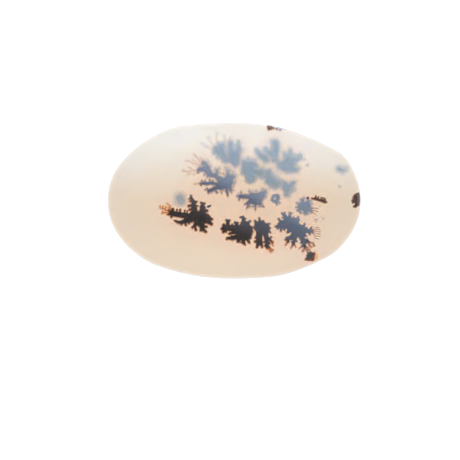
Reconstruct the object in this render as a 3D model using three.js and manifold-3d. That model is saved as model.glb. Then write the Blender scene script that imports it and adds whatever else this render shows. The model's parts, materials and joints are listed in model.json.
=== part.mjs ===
// A polished dendritic agate: one oval stone with a low dome, a rounded shoulder, a flat back.
// Millimetres, +Z up. The origin is the middle of the flat back, and X runs along the stone.
// The fern-like mineral growths lie inside the stone along one sloping crack, and leave its surface
// smooth. The clear stone has a flat hollow round each of them.
import * as THREE from "three";
import { ConvexGeometry } from "three/addons/geometries/ConvexGeometry.js";
import { mergeVertices } from "three/addons/utils/BufferGeometryUtils.js";
import Module from "manifold-3d";

const wasm = await Module();
wasm.setup();

// The stone's real size.
const LENGTH = 32;
const WIDTH = 19.8;
const THICKNESS = 5.2;

// Heights of its profile, measured up from the flat back, and how far each edge is cut in. The
// bevel under the girdle is straight where its curve is 1, and rounder above that.
const BACK_BEVEL_HEIGHT = 0.7;
const BACK_BEVEL_INSET = 0.9;
const BACK_BEVEL_CURVE = 1.5;
const GIRDLE_HEIGHT = 2.5;
const GIRDLE_BULGE = 0.06;
const SHOULDER_HEIGHT = 4.25;
const SHOULDER_INSET = 1.25;

// The dome rises from the shoulder to the crown. Above 2 it is fuller than a parabola.
const DOME_FULLNESS = 2.2;

// Its milky body, and the gloss of its polish.
const BODY_COLOUR = [0.91, 0.83, 0.74];
const POLISH_ROUGHNESS = 0.12;

// The crack that the minerals grew along: its height over the middle of the back, and how much it
// drops for each millimetre of X and Y.
const CRACK_HEIGHT = 2.9;
const CRACK_DROP_X = 0.08;
const CRACK_DROP_Y = 0.217;

// Each growth is a flat plate, and its hollow leaves this much room on every side.
const GROWTH_THICKNESS = 0.3;
const ROOM = 0.3;
const ROUND_END_FACETS = 3;

// Their colours: sooty near the top, bluer where more milky stone lies over them.
const SOOT = [0.14, 0.12, 0.11];
const SLATE = [0.4, 0.43, 0.49];
const MISTY_BLUE = [0.6, 0.66, 0.72];
const MINERAL_ROUGHNESS = 0.85;

// The growths. Each limb follows a path seen from above, from one half width to another.
const GROWTHS = [
  {
    name: "fern_left",
    colour: SOOT,
    limbs: [
      limb([[-5, -1.9], [-3.95, -2]], 0.68, 0.62),
      limb([[-5.3, -2], [-6.3, -1.85], [-7.75, -1.6]], 0.36, 0.36),
      limb([[-7.75, -1.6], [-7.68, -1.08]], 0.28, 0.2),
      limb([[-7.9, -1.65], [-8.2, -1.65]], 0.25, 0.15),
      limb([[-5.3, -2.25], [-6.6, -2.72], [-7.35, -2.5]], 0.42, 0.12),
      limb([[-4.95, -1.5], [-5.05, -0.8], [-5.1, -0.15], [-5.4, 0.65]], 0.42, 0.13),
      limb([[-5.05, -0.8], [-5.6, -0.65]], 0.2, 0.16),
      limb([[-4.05, -1.5], [-3.93, -0.35]], 0.42, 0.24),
      limb([[-4.15, -2.6], [-3.95, -3.75]], 0.42, 0.26),
      limb([[-4.6, -2.5], [-5.05, -3.4]], 0.36, 0.2),
      limb([[-3.6, -2.1], [-2.85, -2.3]], 0.4, 0.18),
      limb([[-3.6, -2.4], [-2.9, -2.85]], 0.4, 0.2),
    ],
  },
  {
    name: "fern_middle",
    colour: SOOT,
    limbs: [
      limb([[1.05, -3.65], [1.45, -3.7]], 0.75, 0.75),
      limb([[0.9, -4.3], [1.45, -4.2]], 0.55, 0.55),
      limb([[0.8, -3.65], [0, -3.45], [-1.25, -3.42]], 0.42, 0.36),
      limb([[-0.8, -3.2], [-0.8, -2.45]], 0.26, 0.22),
      limb([[0.35, -3.2], [0.22, -2.7]], 0.25, 0.2),
      limb([[0.9, -4.35], [-0.25, -4.68], [-0.85, -4.7]], 0.4, 0.16),
      limb([[1.3, -3.1], [1.15, -2.25], [0.95, -2.05]], 0.36, 0.16),
      limb([[1.6, -3.1], [1.85, -2.6]], 0.3, 0.16),
      limb([[0.7, -4.6], [0.55, -5.05]], 0.26, 0.2),
      limb([[1.1, -4.7], [1.25, -5.4]], 0.28, 0.16),
      limb([[1.55, -4.6], [1.9, -5.15]], 0.25, 0.14),
    ],
  },
  {
    name: "fern_right",
    colour: SOOT,
    limbs: [
      limb([[3.15, -3.3], [3.85, -3.4]], 0.5, 0.58),
      limb([[3.2, -2.9], [3.6, -2.6]], 0.4, 0.18),
      limb([[3.1, -2.7], [2.7, -2.55]], 0.16, 0.14),
      limb([[3.2, -2.8], [3.14, -2.2]], 0.2, 0.14),
      limb([[4, -3.05], [4.35, -2.87]], 0.2, 0.14),
      limb([[3.9, -3.7], [4.4, -3.88]], 0.4, 0.18),
      limb([[3.25, -3.8], [3.12, -4.6], [3.15, -5.2]], 0.4, 0.34),
      limb([[3, -5.2], [2.88, -5.7]], 0.22, 0.16),
      limb([[3.3, -5.2], [3.45, -5.65]], 0.22, 0.16),
      limb([[3.85, -3.9], [4.1, -5.2], [4.1, -5.8]], 0.36, 0.2),
      limb([[4.1, -4.6], [4.75, -5.2]], 0.15, 0.12),
    ],
  },
  {
    name: "fern_slate",
    colour: SLATE,
    limbs: [
      limb([[5.95, -3], [6.9, -2.75], [7.6, -2.6]], 0.5, 0.5),
      limb([[6.7, -2.8], [7.2, -3.2], [8.4, -3.7]], 0.72, 0.66),
      limb([[6.5, -2.3], [6.2, -1.6]], 0.36, 0.22),
      limb([[6.9, -2.2], [7, -1.6]], 0.3, 0.18),
      limb([[7.6, -2.5], [7.95, -2.1]], 0.4, 0.2),
      limb([[5.9, -2.75], [5.58, -2.35]], 0.3, 0.15),
      limb([[5.9, -3.1], [5.35, -3.25]], 0.4, 0.2),
      limb([[8.5, -3.4], [8.77, -2.9]], 0.3, 0.14),
      limb([[8.5, -3.6], [9.65, -3.8]], 0.44, 0.2),
      limb([[9.1, -3.8], [9.4, -4.1]], 0.2, 0.15),
      limb([[7.6, -4], [7.2, -4.5], [6.6, -4.85]], 0.4, 0.24),
      limb([[7.7, -4.3], [7.4, -5.35]], 0.3, 0.14),
      limb([[8.3, -4.2], [8.6, -4.9], [8.75, -5.6]], 0.44, 0.2),
      limb([[8.7, -4.9], [9.2, -5]], 0.22, 0.18),
    ],
  },
  {
    name: "fern_upper",
    colour: SLATE,
    limbs: [
      limb([[-3.7, 4.65], [-3.4, 3.85]], 0.44, 0.55),
      limb([[-3.6, 3.9], [-4.45, 3.7]], 0.42, 0.28),
      limb([[-3.4, 3.8], [-3.1, 3.25], [-2.4, 3.1]], 0.45, 0.34),
      limb([[-2.3, 3.05], [-2.1, 3.8]], 0.34, 0.26),
      limb([[-2.25, 3], [-1.5, 2.35]], 0.3, 0.6),
      limb([[-1.7, 1.9], [-0.7, 2.4]], 0.66, 0.78),
      limb([[-0.75, 2.9], [-0.82, 3.75]], 0.5, 0.24),
      limb([[-0.4, 2.8], [0.05, 2.95]], 0.5, 0.36),
      limb([[-2, 2], [-2.8, 2.28], [-4.1, 2.25]], 0.36, 0.34),
      limb([[-2.1, 1.7], [-2.8, 1.38], [-3.3, 1.2]], 0.36, 0.26),
      limb([[-0.95, 1.9], [-0.8, 0.62]], 0.35, 0.15),
      limb([[-0.6, 1.9], [-0.35, 1.2]], 0.38, 0.2),
    ],
  },
  {
    name: "fern_centre",
    colour: SLATE,
    limbs: [
      limb([[2.2, 0.5], [3.2, 0.45]], 0.6, 0.62),
      limb([[2.1, -0.1], [3.1, -0.2]], 0.42, 0.44),
      limb([[1.8, 0.5], [0.6, 0.5]], 0.36, 0.34),
      limb([[3.3, 0.7], [3.7, 1.05]], 0.5, 0.4),
      limb([[2, -0.1], [1.55, -0.4]], 0.35, 0.25),
      limb([[2.6, -0.3], [2.62, -1.15]], 0.22, 0.13),
    ],
  },
  {
    name: "ringlet",
    colour: SLATE,
    limbs: [
      limb([[4.75, 0.25], [4.92, 0.6], [5.35, 0.64], [5.55, 0.25], [5.3, -0.15]], 0.17, 0.17),
      limb([[5.3, -0.15], [4.9, -0.1], [4.75, 0.25]], 0.17, 0.17),
    ],
  },
  {
    name: "shield",
    colour: SLATE,
    limbs: [
      limb([[8.4, -0.6], [9.05, -0.7]], 0.5, 0.56),
      limb([[8.4, -0.3], [7.95, -0.12]], 0.3, 0.18),
      limb([[8.6, -0.3], [8.5, 0.12]], 0.3, 0.2),
      limb([[9, -0.4], [9.42, 0]], 0.35, 0.2),
      limb([[8.5, -0.9], [7.95, -1.15]], 0.3, 0.18),
      limb([[9, -1], [8.85, -1.55]], 0.4, 0.22),
      limb([[9.2, -1], [9.62, -1.38]], 0.35, 0.2),
    ],
  },
  {
    name: "plume_left",
    colour: MISTY_BLUE,
    limbs: [
      limb([[-1.95, 5.95], [-1.55, 5.6]], 0.6, 0.4),
      limb([[-1.85, 6.4], [-1.5, 6.5]], 0.4, 0.4),
    ],
  },
  {
    name: "plume_right",
    colour: MISTY_BLUE,
    limbs: [
      limb([[-0.5, 6.85], [-0.35, 5.8], [-0.3, 5]], 0.3, 0.4),
      limb([[0.4, 6.7], [0.2, 5.8], [0.1, 4.6]], 0.36, 0.46),
    ],
  },
  {
    name: "cloud_left",
    colour: MISTY_BLUE,
    limbs: [
      limb([[1.4, 4.35], [2.3, 4.35]], 0.5, 0.5),
      limb([[1.65, 3.9], [2, 2.85]], 0.66, 0.52),
      limb([[2.3, 3.5], [3.15, 3.35]], 0.42, 0.46),
    ],
  },
  {
    name: "cloud_right",
    colour: MISTY_BLUE,
    limbs: [
      limb([[4.35, 3.35], [4.45, 2.5]], 0.38, 0.5),
      limb([[4.6, 2.3], [5.15, 2.25]], 0.6, 0.5),
    ],
  },
  {
    name: "drop",
    colour: MISTY_BLUE,
    limbs: [
      limb([[6.45, 1.9], [6.55, 0.85]], 0.36, 0.32),
      limb([[6.85, 1.7], [7.35, 2.25]], 0.4, 0.2),
      limb([[6.6, 1.5], [7.15, 1.3]], 0.4, 0.26),
    ],
  },
  {
    name: "feather",
    colour: MISTY_BLUE,
    limbs: [limb([[2.9, 6], [3.3, 5.4], [3.8, 5.1]], 0.2, 0.34)],
  },
  {
    name: "antler",
    colour: MISTY_BLUE,
    limbs: [
      limb([[5, 5.35], [5.1, 6.85]], 0.36, 0.4),
      limb([[4.8, 5.65], [4.35, 5.85], [4, 6.35]], 0.3, 0.18),
    ],
  },
  {
    name: "crown",
    colour: MISTY_BLUE,
    limbs: [
      limb([[5.95, 4.3], [6.7, 4.1]], 0.5, 0.6),
      limb([[6.4, 3.9], [7.7, 3.7]], 0.42, 0.26),
      limb([[6.5, 4.6], [6.4, 5.45]], 0.38, 0.24),
      limb([[6.8, 4.8], [6.95, 5.95]], 0.38, 0.18),
      limb([[7, 4.7], [7.7, 5.1], [8.15, 5.45]], 0.38, 0.22),
    ],
  },
];

// Hairline cracks that fed the growths and join their hollows.
const FEEDER_HALF_WIDTH = 0.1;
const FEEDERS = [
  [[-3.93, -0.35], [-3.3, 1.2]],
  [[-0.35, 1.2], [0.6, 0.5]],
  [[1.55, -0.4], [0.95, -2.05]],
  [[4.35, -2.87], [5.35, -3.25]],
  [[3.7, 0.7], [4.75, 0.25]],
  [[7.95, -1.15], [7.95, -2.1]],
  [[0.1, 4.6], [-0.82, 3.75]],
  [[4.35, 3.35], [5.95, 4.3]],
  [[5.95, 4.3], [5, 5.35]],
];

// Where the crack runs out on the flat back: the middle of the slit, and its size.
const OUTLET = { x: 5.1, y: 6.4, length: 0.9, width: 0.5 };

// How finely the surface is divided.
const SECTORS = 112;
const BEVEL_STEPS = 2;
const GIRDLE_STEPS = 2;
const SHOULDER_STEPS = 5;
const DOME_STEPS = 8;

// The outline seen from above is a superellipse, a little boxier than an oval.
const OUTLINE_POWER = 2.15;

// Where hand grinding left it fuller or flatter than that: the direction from the middle in
// degrees, how far the edge moves out in millimetres, and the spread in degrees.
const HAND_GROUND = [
  { direction: 22, shift: 0.34, spread: 5.5 },
  { direction: 43, shift: -0.2, spread: 13 },
  { direction: 132, shift: 0.42, spread: 17 },
  { direction: 215, shift: 0.17, spread: 9 },
  { direction: 302, shift: 0.15, spread: 10 },
  { direction: 332, shift: 0.16, spread: 7 },
];

// Distance from the middle to the edge in one direction, given in degrees.
function edgeDistance(degrees) {
  const turn = THREE.MathUtils.degToRad(degrees);
  const across = Math.abs(Math.cos(turn)) / (LENGTH / 2);
  const up = Math.abs(Math.sin(turn)) / (WIDTH / 2);
  const oval = (across ** OUTLINE_POWER + up ** OUTLINE_POWER) ** (-1 / OUTLINE_POWER);
  return HAND_GROUND.reduce((sum, { direction, shift, spread }) => {
    const away = (degrees - direction) / spread;
    return sum + shift * Math.exp(-away * away);
  }, oval);
}

// The outline as evenly spaced points, scaled and centred to measure LENGTH by WIDTH.
function outlineRing() {
  const corners = [];
  for (let degrees = 0; degrees < 360; degrees++) {
    const turn = THREE.MathUtils.degToRad(degrees);
    const reach = edgeDistance(degrees);
    corners.push(new THREE.Vector3(reach * Math.cos(turn), reach * Math.sin(turn), 0));
  }
  const curve = new THREE.CatmullRomCurve3(corners, true, "centripetal");
  const ring = curve.getSpacedPoints(SECTORS).slice(0, SECTORS);
  const box = new THREE.Box3().setFromPoints(ring);
  const size = box.getSize(new THREE.Vector3());
  const middle = box.getCenter(new THREE.Vector3());
  const fit = new THREE.Vector3(LENGTH / size.x, WIDTH / size.y, 1);
  return ring.map((point) => point.sub(middle).multiply(fit));
}

// Unit vectors that point out of the outline at each of its points.
function outwardNormals(ring) {
  const count = ring.length;
  return ring.map((_, i) => {
    const along = ring[(i + 1) % count].clone().sub(ring[(i + count - 1) % count]);
    return new THREE.Vector3(along.y, -along.x, 0).normalize();
  });
}

// The ring moved in from the outline by a constant distance, at one height.
function insetRing(ring, normals, inset, height) {
  return ring.map((point, i) => {
    const moved = point.clone().addScaledVector(normals[i], -inset);
    return moved.setZ(height);
  });
}

// The edge of the stone, from the flat back round the girdle to the top of the shoulder.
function edgeRings(ring, normals) {
  const rings = [];
  for (let i = 0; i < BEVEL_STEPS; i++) {
    const share = i / BEVEL_STEPS;
    const inset = BACK_BEVEL_INSET * (1 - share) ** BACK_BEVEL_CURVE;
    rings.push(insetRing(ring, normals, inset, BACK_BEVEL_HEIGHT * share));
  }
  for (let i = 0; i < GIRDLE_STEPS; i++) {
    const share = i / GIRDLE_STEPS;
    const bulge = GIRDLE_BULGE * (1 - Math.sin(Math.PI * share));
    const height = THREE.MathUtils.lerp(BACK_BEVEL_HEIGHT, GIRDLE_HEIGHT, share);
    rings.push(insetRing(ring, normals, bulge, height));
  }
  for (let i = 0; i <= SHOULDER_STEPS; i++) {
    const turn = (Math.PI / 2) * (i / SHOULDER_STEPS);
    const inset = GIRDLE_BULGE + SHOULDER_INSET * (1 - Math.cos(turn));
    const rise = (SHOULDER_HEIGHT - GIRDLE_HEIGHT) * Math.sin(turn);
    rings.push(insetRing(ring, normals, inset, GIRDLE_HEIGHT + rise));
  }
  return rings;
}

// Rings of the dome, each a smaller copy of the shoulder's top ring.
function domeRings(shoulderRing) {
  const rings = [];
  for (let i = 1; i < DOME_STEPS; i++) {
    const scale = 1 - i / DOME_STEPS;
    const rise = (THICKNESS - SHOULDER_HEIGHT) * (1 - scale ** DOME_FULLNESS);
    rings.push(
      shoulderRing.map((point) => {
        const shrunk = point.clone().multiplyScalar(scale);
        return shrunk.setZ(SHOULDER_HEIGHT + rise);
      }),
    );
  }
  return rings;
}

// Closed surface through the rings: a fan under the first one, bands between neighbours, and a
// fan over the last one.
function loft(rings, bottom, top) {
  const geometry = new THREE.BufferGeometry();
  geometry.setFromPoints([...rings.flat(), bottom, top]);
  const bottomIndex = rings.length * SECTORS;
  const topIndex = bottomIndex + 1;
  const faces = [];
  for (let i = 0; i < SECTORS; i++) {
    const next = (i + 1) % SECTORS;
    faces.push(bottomIndex, next, i);
    for (let level = 0; level < rings.length - 1; level++) {
      const low = level * SECTORS;
      const high = low + SECTORS;
      faces.push(low + i, low + next, high + next);
      faces.push(low + i, high + next, high + i);
    }
    const last = (rings.length - 1) * SECTORS;
    faces.push(last + i, last + next, topIndex);
  }
  geometry.setIndex(faces);
  geometry.computeVertexNormals();
  return geometry;
}

// One limb of a growth, or one crack: its path, and half its width at the start and at the end.
function limb(path, root, tip) {
  return { path, root, tip };
}

// Closed geometry as a solid that can be joined and cut.
function toSolid(geometry) {
  const bare = geometry.clone();
  bare.deleteAttribute("normal");
  bare.deleteAttribute("uv");
  const merged = mergeVertices(bare);
  const vertProperties = new Float32Array(merged.getAttribute("position").array);
  const triVerts = new Uint32Array(merged.getIndex().array);
  return new wasm.Manifold(new wasm.Mesh({ numProp: 3, vertProperties, triVerts }));
}

// A solid back as geometry.
function toGeometry(solid) {
  const { vertProperties, triVerts } = solid.getMesh();
  const geometry = new THREE.BufferGeometry();
  geometry.setAttribute("position", new THREE.BufferAttribute(vertProperties, 3));
  geometry.setIndex(new THREE.BufferAttribute(triVerts, 1));
  geometry.computeVertexNormals();
  return geometry;
}

// Points round half a circle, from a quarter turn before a heading to a quarter turn after it.
function halfCircle([x, y], radius, heading) {
  const points = [];
  for (let i = 0; i <= ROUND_END_FACETS; i++) {
    const angle = heading + Math.PI * (i / ROUND_END_FACETS - 0.5);
    points.push(new THREE.Vector2(x + radius * Math.cos(angle), y + radius * Math.sin(angle)));
  }
  return points;
}

// The outline of a tapered bar with round ends.
function barOutline(start, end, root, tip) {
  const heading = Math.atan2(end[1] - start[1], end[0] - start[0]);
  return [...halfCircle(end, tip, heading), ...halfCircle(start, root, heading + Math.PI)];
}

// The outlines of a limb's bars, each wider by some room.
function limbOutlines({ path, root, tip }, room) {
  const steps = path.length - 1;
  const outlines = [];
  for (let i = 0; i < steps; i++) {
    const from = THREE.MathUtils.lerp(root, tip, i / steps) + room;
    const to = THREE.MathUtils.lerp(root, tip, (i + 1) / steps) + room;
    outlines.push(barOutline(path[i], path[i + 1], from, to));
  }
  return outlines;
}

// A level plate with one outline, the middle of its thickness at height 0.
function plate(outline) {
  const shape = new THREE.Shape(outline);
  const geometry = new THREE.ExtrudeGeometry(shape, { depth: GROWTH_THICKNESS, bevelEnabled: false });
  geometry.translate(0, 0, -GROWTH_THICKNESS / 2);
  return toSolid(geometry);
}

// A level hollow: the smallest one without inward corners that goes round all the outlines.
function hollow(limbs) {
  const reach = GROWTH_THICKNESS / 2 + ROOM;
  const points = limbs.flatMap((each) => limbOutlines(each, ROOM)).flat();
  const corners = points.flatMap(({ x, y }) => [
    new THREE.Vector3(x, y, -reach),
    new THREE.Vector3(x, y, reach),
  ]);
  return toSolid(new ConvexGeometry(corners));
}

// Level solids joined into one that lies in the sloping crack.
function inCrack(solids) {
  const joined = solids.reduce((sum, next) => sum.add(next));
  const slope = new THREE.Matrix4();
  slope.set(1, 0, 0, 0, 0, 1, 0, 0, -CRACK_DROP_X, -CRACK_DROP_Y, 1, CRACK_HEIGHT, 0, 0, 0, 1);
  return toGeometry(joined).applyMatrix4(slope);
}

// One growth.
function growth({ name, colour, limbs }) {
  const plates = limbs.flatMap((each) => limbOutlines(each, 0)).map(plate);
  const material = new THREE.MeshStandardMaterial({
    color: new THREE.Color().setRGB(...colour, THREE.SRGBColorSpace),
    roughness: MINERAL_ROUGHNESS,
    metalness: 0,
  });
  const mesh = new THREE.Mesh(inCrack(plates), material);
  mesh.name = name;
  return mesh;
}

// All the hollows and feeders as one, with the slit where the crack reaches the flat back.
function pocket() {
  const feeders = FEEDERS.map((path) => [limb(path, FEEDER_HALF_WIDTH, FEEDER_HALF_WIDTH)]);
  const groups = [...GROWTHS.map(({ limbs }) => limbs), ...feeders];
  const inside = toSolid(inCrack(groups.map(hollow)));
  const height = CRACK_HEIGHT - CRACK_DROP_X * OUTLET.x - CRACK_DROP_Y * OUTLET.y;
  const slit = new THREE.BoxGeometry(OUTLET.width, OUTLET.length, 2 * height);
  slit.translate(OUTLET.x, OUTLET.y, 0);
  return inside.add(toSolid(slit));
}

// The whole stone.
function agateStone() {
  const ring = outlineRing();
  const edge = edgeRings(ring, outwardNormals(ring));
  const rings = [...edge, ...domeRings(edge[edge.length - 1])];
  const back = new THREE.Vector3(0, 0, 0);
  const crown = new THREE.Vector3(0, 0, THICKNESS);
  const material = new THREE.MeshStandardMaterial({
    color: new THREE.Color().setRGB(...BODY_COLOUR, THREE.SRGBColorSpace),
    roughness: POLISH_ROUGHNESS,
    metalness: 0,
  });
  const body = toSolid(loft(rings, back, crown)).subtract(pocket());
  const mesh = new THREE.Mesh(toGeometry(body), material);
  mesh.name = "agate_stone";
  return mesh;
}

const specimen = new THREE.Group();
specimen.add(agateStone(), ...GROWTHS.map(growth));

export default specimen;
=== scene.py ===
"""A polished oval of dendritic agate: a milky see-through stone with fern-like dark minerals in it.

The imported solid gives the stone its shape. Here it is smoothed and made see-through, and the
mineral growths are built inside it as thin knobbly plates, near its top on one side and deep in
it on the other.
"""

import json
import logging
import math
from dataclasses import dataclass, field, fields, replace
from enum import Enum

import bpy
import numpy as np
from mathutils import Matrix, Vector
from mathutils.bvhtree import BVHTree

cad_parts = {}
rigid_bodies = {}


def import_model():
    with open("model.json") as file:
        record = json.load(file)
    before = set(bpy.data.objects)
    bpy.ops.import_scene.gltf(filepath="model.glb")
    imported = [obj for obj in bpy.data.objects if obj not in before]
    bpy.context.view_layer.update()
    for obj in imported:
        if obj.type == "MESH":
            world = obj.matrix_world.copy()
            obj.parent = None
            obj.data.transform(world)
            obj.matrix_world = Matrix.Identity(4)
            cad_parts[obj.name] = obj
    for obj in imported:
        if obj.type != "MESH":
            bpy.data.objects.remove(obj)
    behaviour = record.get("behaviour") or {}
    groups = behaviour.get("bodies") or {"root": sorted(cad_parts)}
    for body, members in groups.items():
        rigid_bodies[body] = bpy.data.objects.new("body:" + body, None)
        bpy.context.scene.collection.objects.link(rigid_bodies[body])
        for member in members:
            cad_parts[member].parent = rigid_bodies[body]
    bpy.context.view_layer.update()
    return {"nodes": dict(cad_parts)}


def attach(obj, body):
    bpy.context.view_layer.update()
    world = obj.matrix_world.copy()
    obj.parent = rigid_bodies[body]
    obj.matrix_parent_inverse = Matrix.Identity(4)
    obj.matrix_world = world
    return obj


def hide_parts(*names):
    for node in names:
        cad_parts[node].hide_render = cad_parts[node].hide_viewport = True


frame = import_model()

log = logging.getLogger("dendritic agate")

# A spot's x and y, half a limb's width at its two ends, a knob's x, y and radius, and red, green
# and blue. Lengths are in millimetres, seen from above, with the stone's middle at the origin.
Spot = tuple[float, float]
Widths = tuple[float, float]
Knob = tuple[float, float, float]
Colour = tuple[float, float, float]

MM = 0.001

# Least stone over a growth, and half a solid growth's thickness, in millimetres.
SKIN = 0.02
SOLID_HALF = 0.08

# Where the rays that look for the stone's surface start, above and below it, in metres.
RAY_START = 0.05

# The lowest and highest point of the stone, in millimetres, taken where a spot lies beside it.
BESIDE_STONE = (1.0, 3.0)

# A rod shorter than this is a ball alone, and no rod is thinner than this, in millimetres.
SHORTEST_ROD = 1e-4
LEAST_RADIUS = 0.01

# The least squared length that is divided by, and how fine a rod's round ends are.
LEAST_SQUARE = 1e-12
BALL_STEPS = 2

# A knob's neck as a share of its head, and how far past a limb's edge it is a tip all over.
KNOB_NECK = 0.8
KNOB_EDGE = 0.12

# The photograph's frame, in pixels and in the stone's own millimetres.
MM_PER_PIXEL = 0.12574
FRAME_PIXELS = 460
STONE_CENTRE_PIXEL = (234.2, 200.7)


class Mineral(Enum):
    """What a growth is made of, and whether it is solid or a fading veil."""

    MANGANESE = "manganese oxide"
    HAZE = "manganese haze"
    IRON = "iron oxide"
    STAIN = "iron stain"


def select_only(piece: bpy.types.Object) -> None:
    """Deselect everything and make one object active.

    Args:
        piece: The object that the next operator works on.
    """
    bpy.ops.object.select_all(action="DESELECT")
    piece.select_set(True)
    bpy.context.view_layer.objects.active = piece


def apply_modifier(piece: bpy.types.Object, kind: str, **settings: object) -> None:
    """Add a modifier to a piece and apply it.

    Args:
        piece: The object to shape.
        kind: Blender's name for the modifier.
        settings: Values set on the modifier before it is applied.
    """
    select_only(piece)
    modifier = piece.modifiers.new(kind.lower(), kind)
    for name, value in settings.items():
        setattr(modifier, name, value)
    bpy.ops.object.modifier_apply(modifier=modifier.name)


def points_of(piece: bpy.types.Object) -> np.ndarray:
    """Read a piece's vertices.

    Args:
        piece: A mesh object.

    Returns:
        One row of x, y and z for each vertex.
    """
    flat = np.empty(len(piece.data.vertices) * 3)
    piece.data.vertices.foreach_get("co", flat)
    return flat.reshape(-1, 3)


def move_points(piece: bpy.types.Object, places: np.ndarray) -> None:
    """Write a piece's vertices from rows of x, y and z."""
    piece.data.vertices.foreach_set("co", places.ravel())
    piece.data.update()


def mark_points(piece: bpy.types.Object, name: str, values: np.ndarray) -> None:
    """Store one number for each vertex under a name, for a material to read."""
    layer = piece.data.attributes.new(name, "FLOAT", "POINT")
    layer.data.foreach_set("value", values.astype(np.float32))


@dataclass(frozen=True)
class Rod:
    """A straight tapered rod with round ends, in millimetres seen from above."""

    start: Spot
    end: Spot
    root: float
    tip: float
    knob: bool = False

    def wider(self, at_root: float, at_tip: float) -> "Rod":
        """Make the same rod with a larger radius at each end, or a smaller one below zero."""
        root = max(self.root + at_root, LEAST_RADIUS)
        return replace(self, root=root, tip=max(self.tip + at_tip, LEAST_RADIUS))

    def model(self, sides: int) -> None:
        """Add the rod to the mesh that is open in edit mode.

        Args:
            sides: How many sides it has.
        """
        start = Vector((*self.start, 0.0))
        end = Vector((*self.end, 0.0))
        run = end - start
        if run.length > SHORTEST_ROD:
            bpy.ops.mesh.primitive_cone_add(
                vertices=sides,
                radius1=self.root,
                radius2=self.tip,
                depth=run.length,
                location=(start + end) / 2,
                rotation=run.to_track_quat("Z", "Y").to_euler(),
            )
        for place, radius in ((start, self.root), (end, self.tip)):
            bpy.ops.mesh.primitive_ico_sphere_add(
                subdivisions=BALL_STEPS, radius=radius, location=place
            )

    def nearest(self, spot: Spot) -> Spot:
        """Find the point on the rod's axis that is nearest to a spot.

        Args:
            spot: The spot.

        Returns:
            The point.
        """
        run = Vector(self.end) - Vector(self.start)
        squared = max(run.length_squared, LEAST_SQUARE)
        share = min(max((Vector(spot) - Vector(self.start)).dot(run) / squared, 0.0), 1.0)
        return tuple(Vector(self.start) + run * share)

    def clearance(self, places: np.ndarray) -> np.ndarray:
        """Measure how far points lie outside the rod, seen from above.

        Args:
            places: Rows that start with x and y.

        Returns:
            A distance for each point, below zero inside the rod.
        """
        run_x = self.end[0] - self.start[0]
        run_y = self.end[1] - self.start[1]
        from_x = places[:, 0] - self.start[0]
        from_y = places[:, 1] - self.start[1]
        squared = max(run_x * run_x + run_y * run_y, LEAST_SQUARE)
        share = np.clip((from_x * run_x + from_y * run_y) / squared, 0.0, 1.0)
        away = np.hypot(from_x - run_x * share, from_y - run_y * share)
        return away - (self.root + (self.tip - self.root) * share)


@dataclass(frozen=True)
class Limb:
    """One arm of a growth: a path that tapers from one half width to another."""

    path: tuple[Spot, ...]
    wide: Widths

    def rods(self) -> list[Rod]:
        """Make a rod for each step of the path.

        Returns:
            The rods, from the limb's root to its tip.
        """
        steps = list(zip(self.path, self.path[1:]))
        total = sum(math.dist(start, end) for start, end in steps)
        rods = []
        run = 0.0
        for start, end in steps:
            after = run + math.dist(start, end)
            rods.append(Rod(start, end, self.width_at(run / total), self.width_at(after / total)))
            run = after
        return rods

    def width_at(self, share: float) -> float:
        """Give half the limb's width at a share of its length."""
        return self.wide[0] + (self.wide[1] - self.wide[0]) * share


def arm(*path: Spot, wide: Widths) -> Limb:
    """Make a limb from the points of its path and half its width at each end."""
    return Limb(path, wide)


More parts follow.
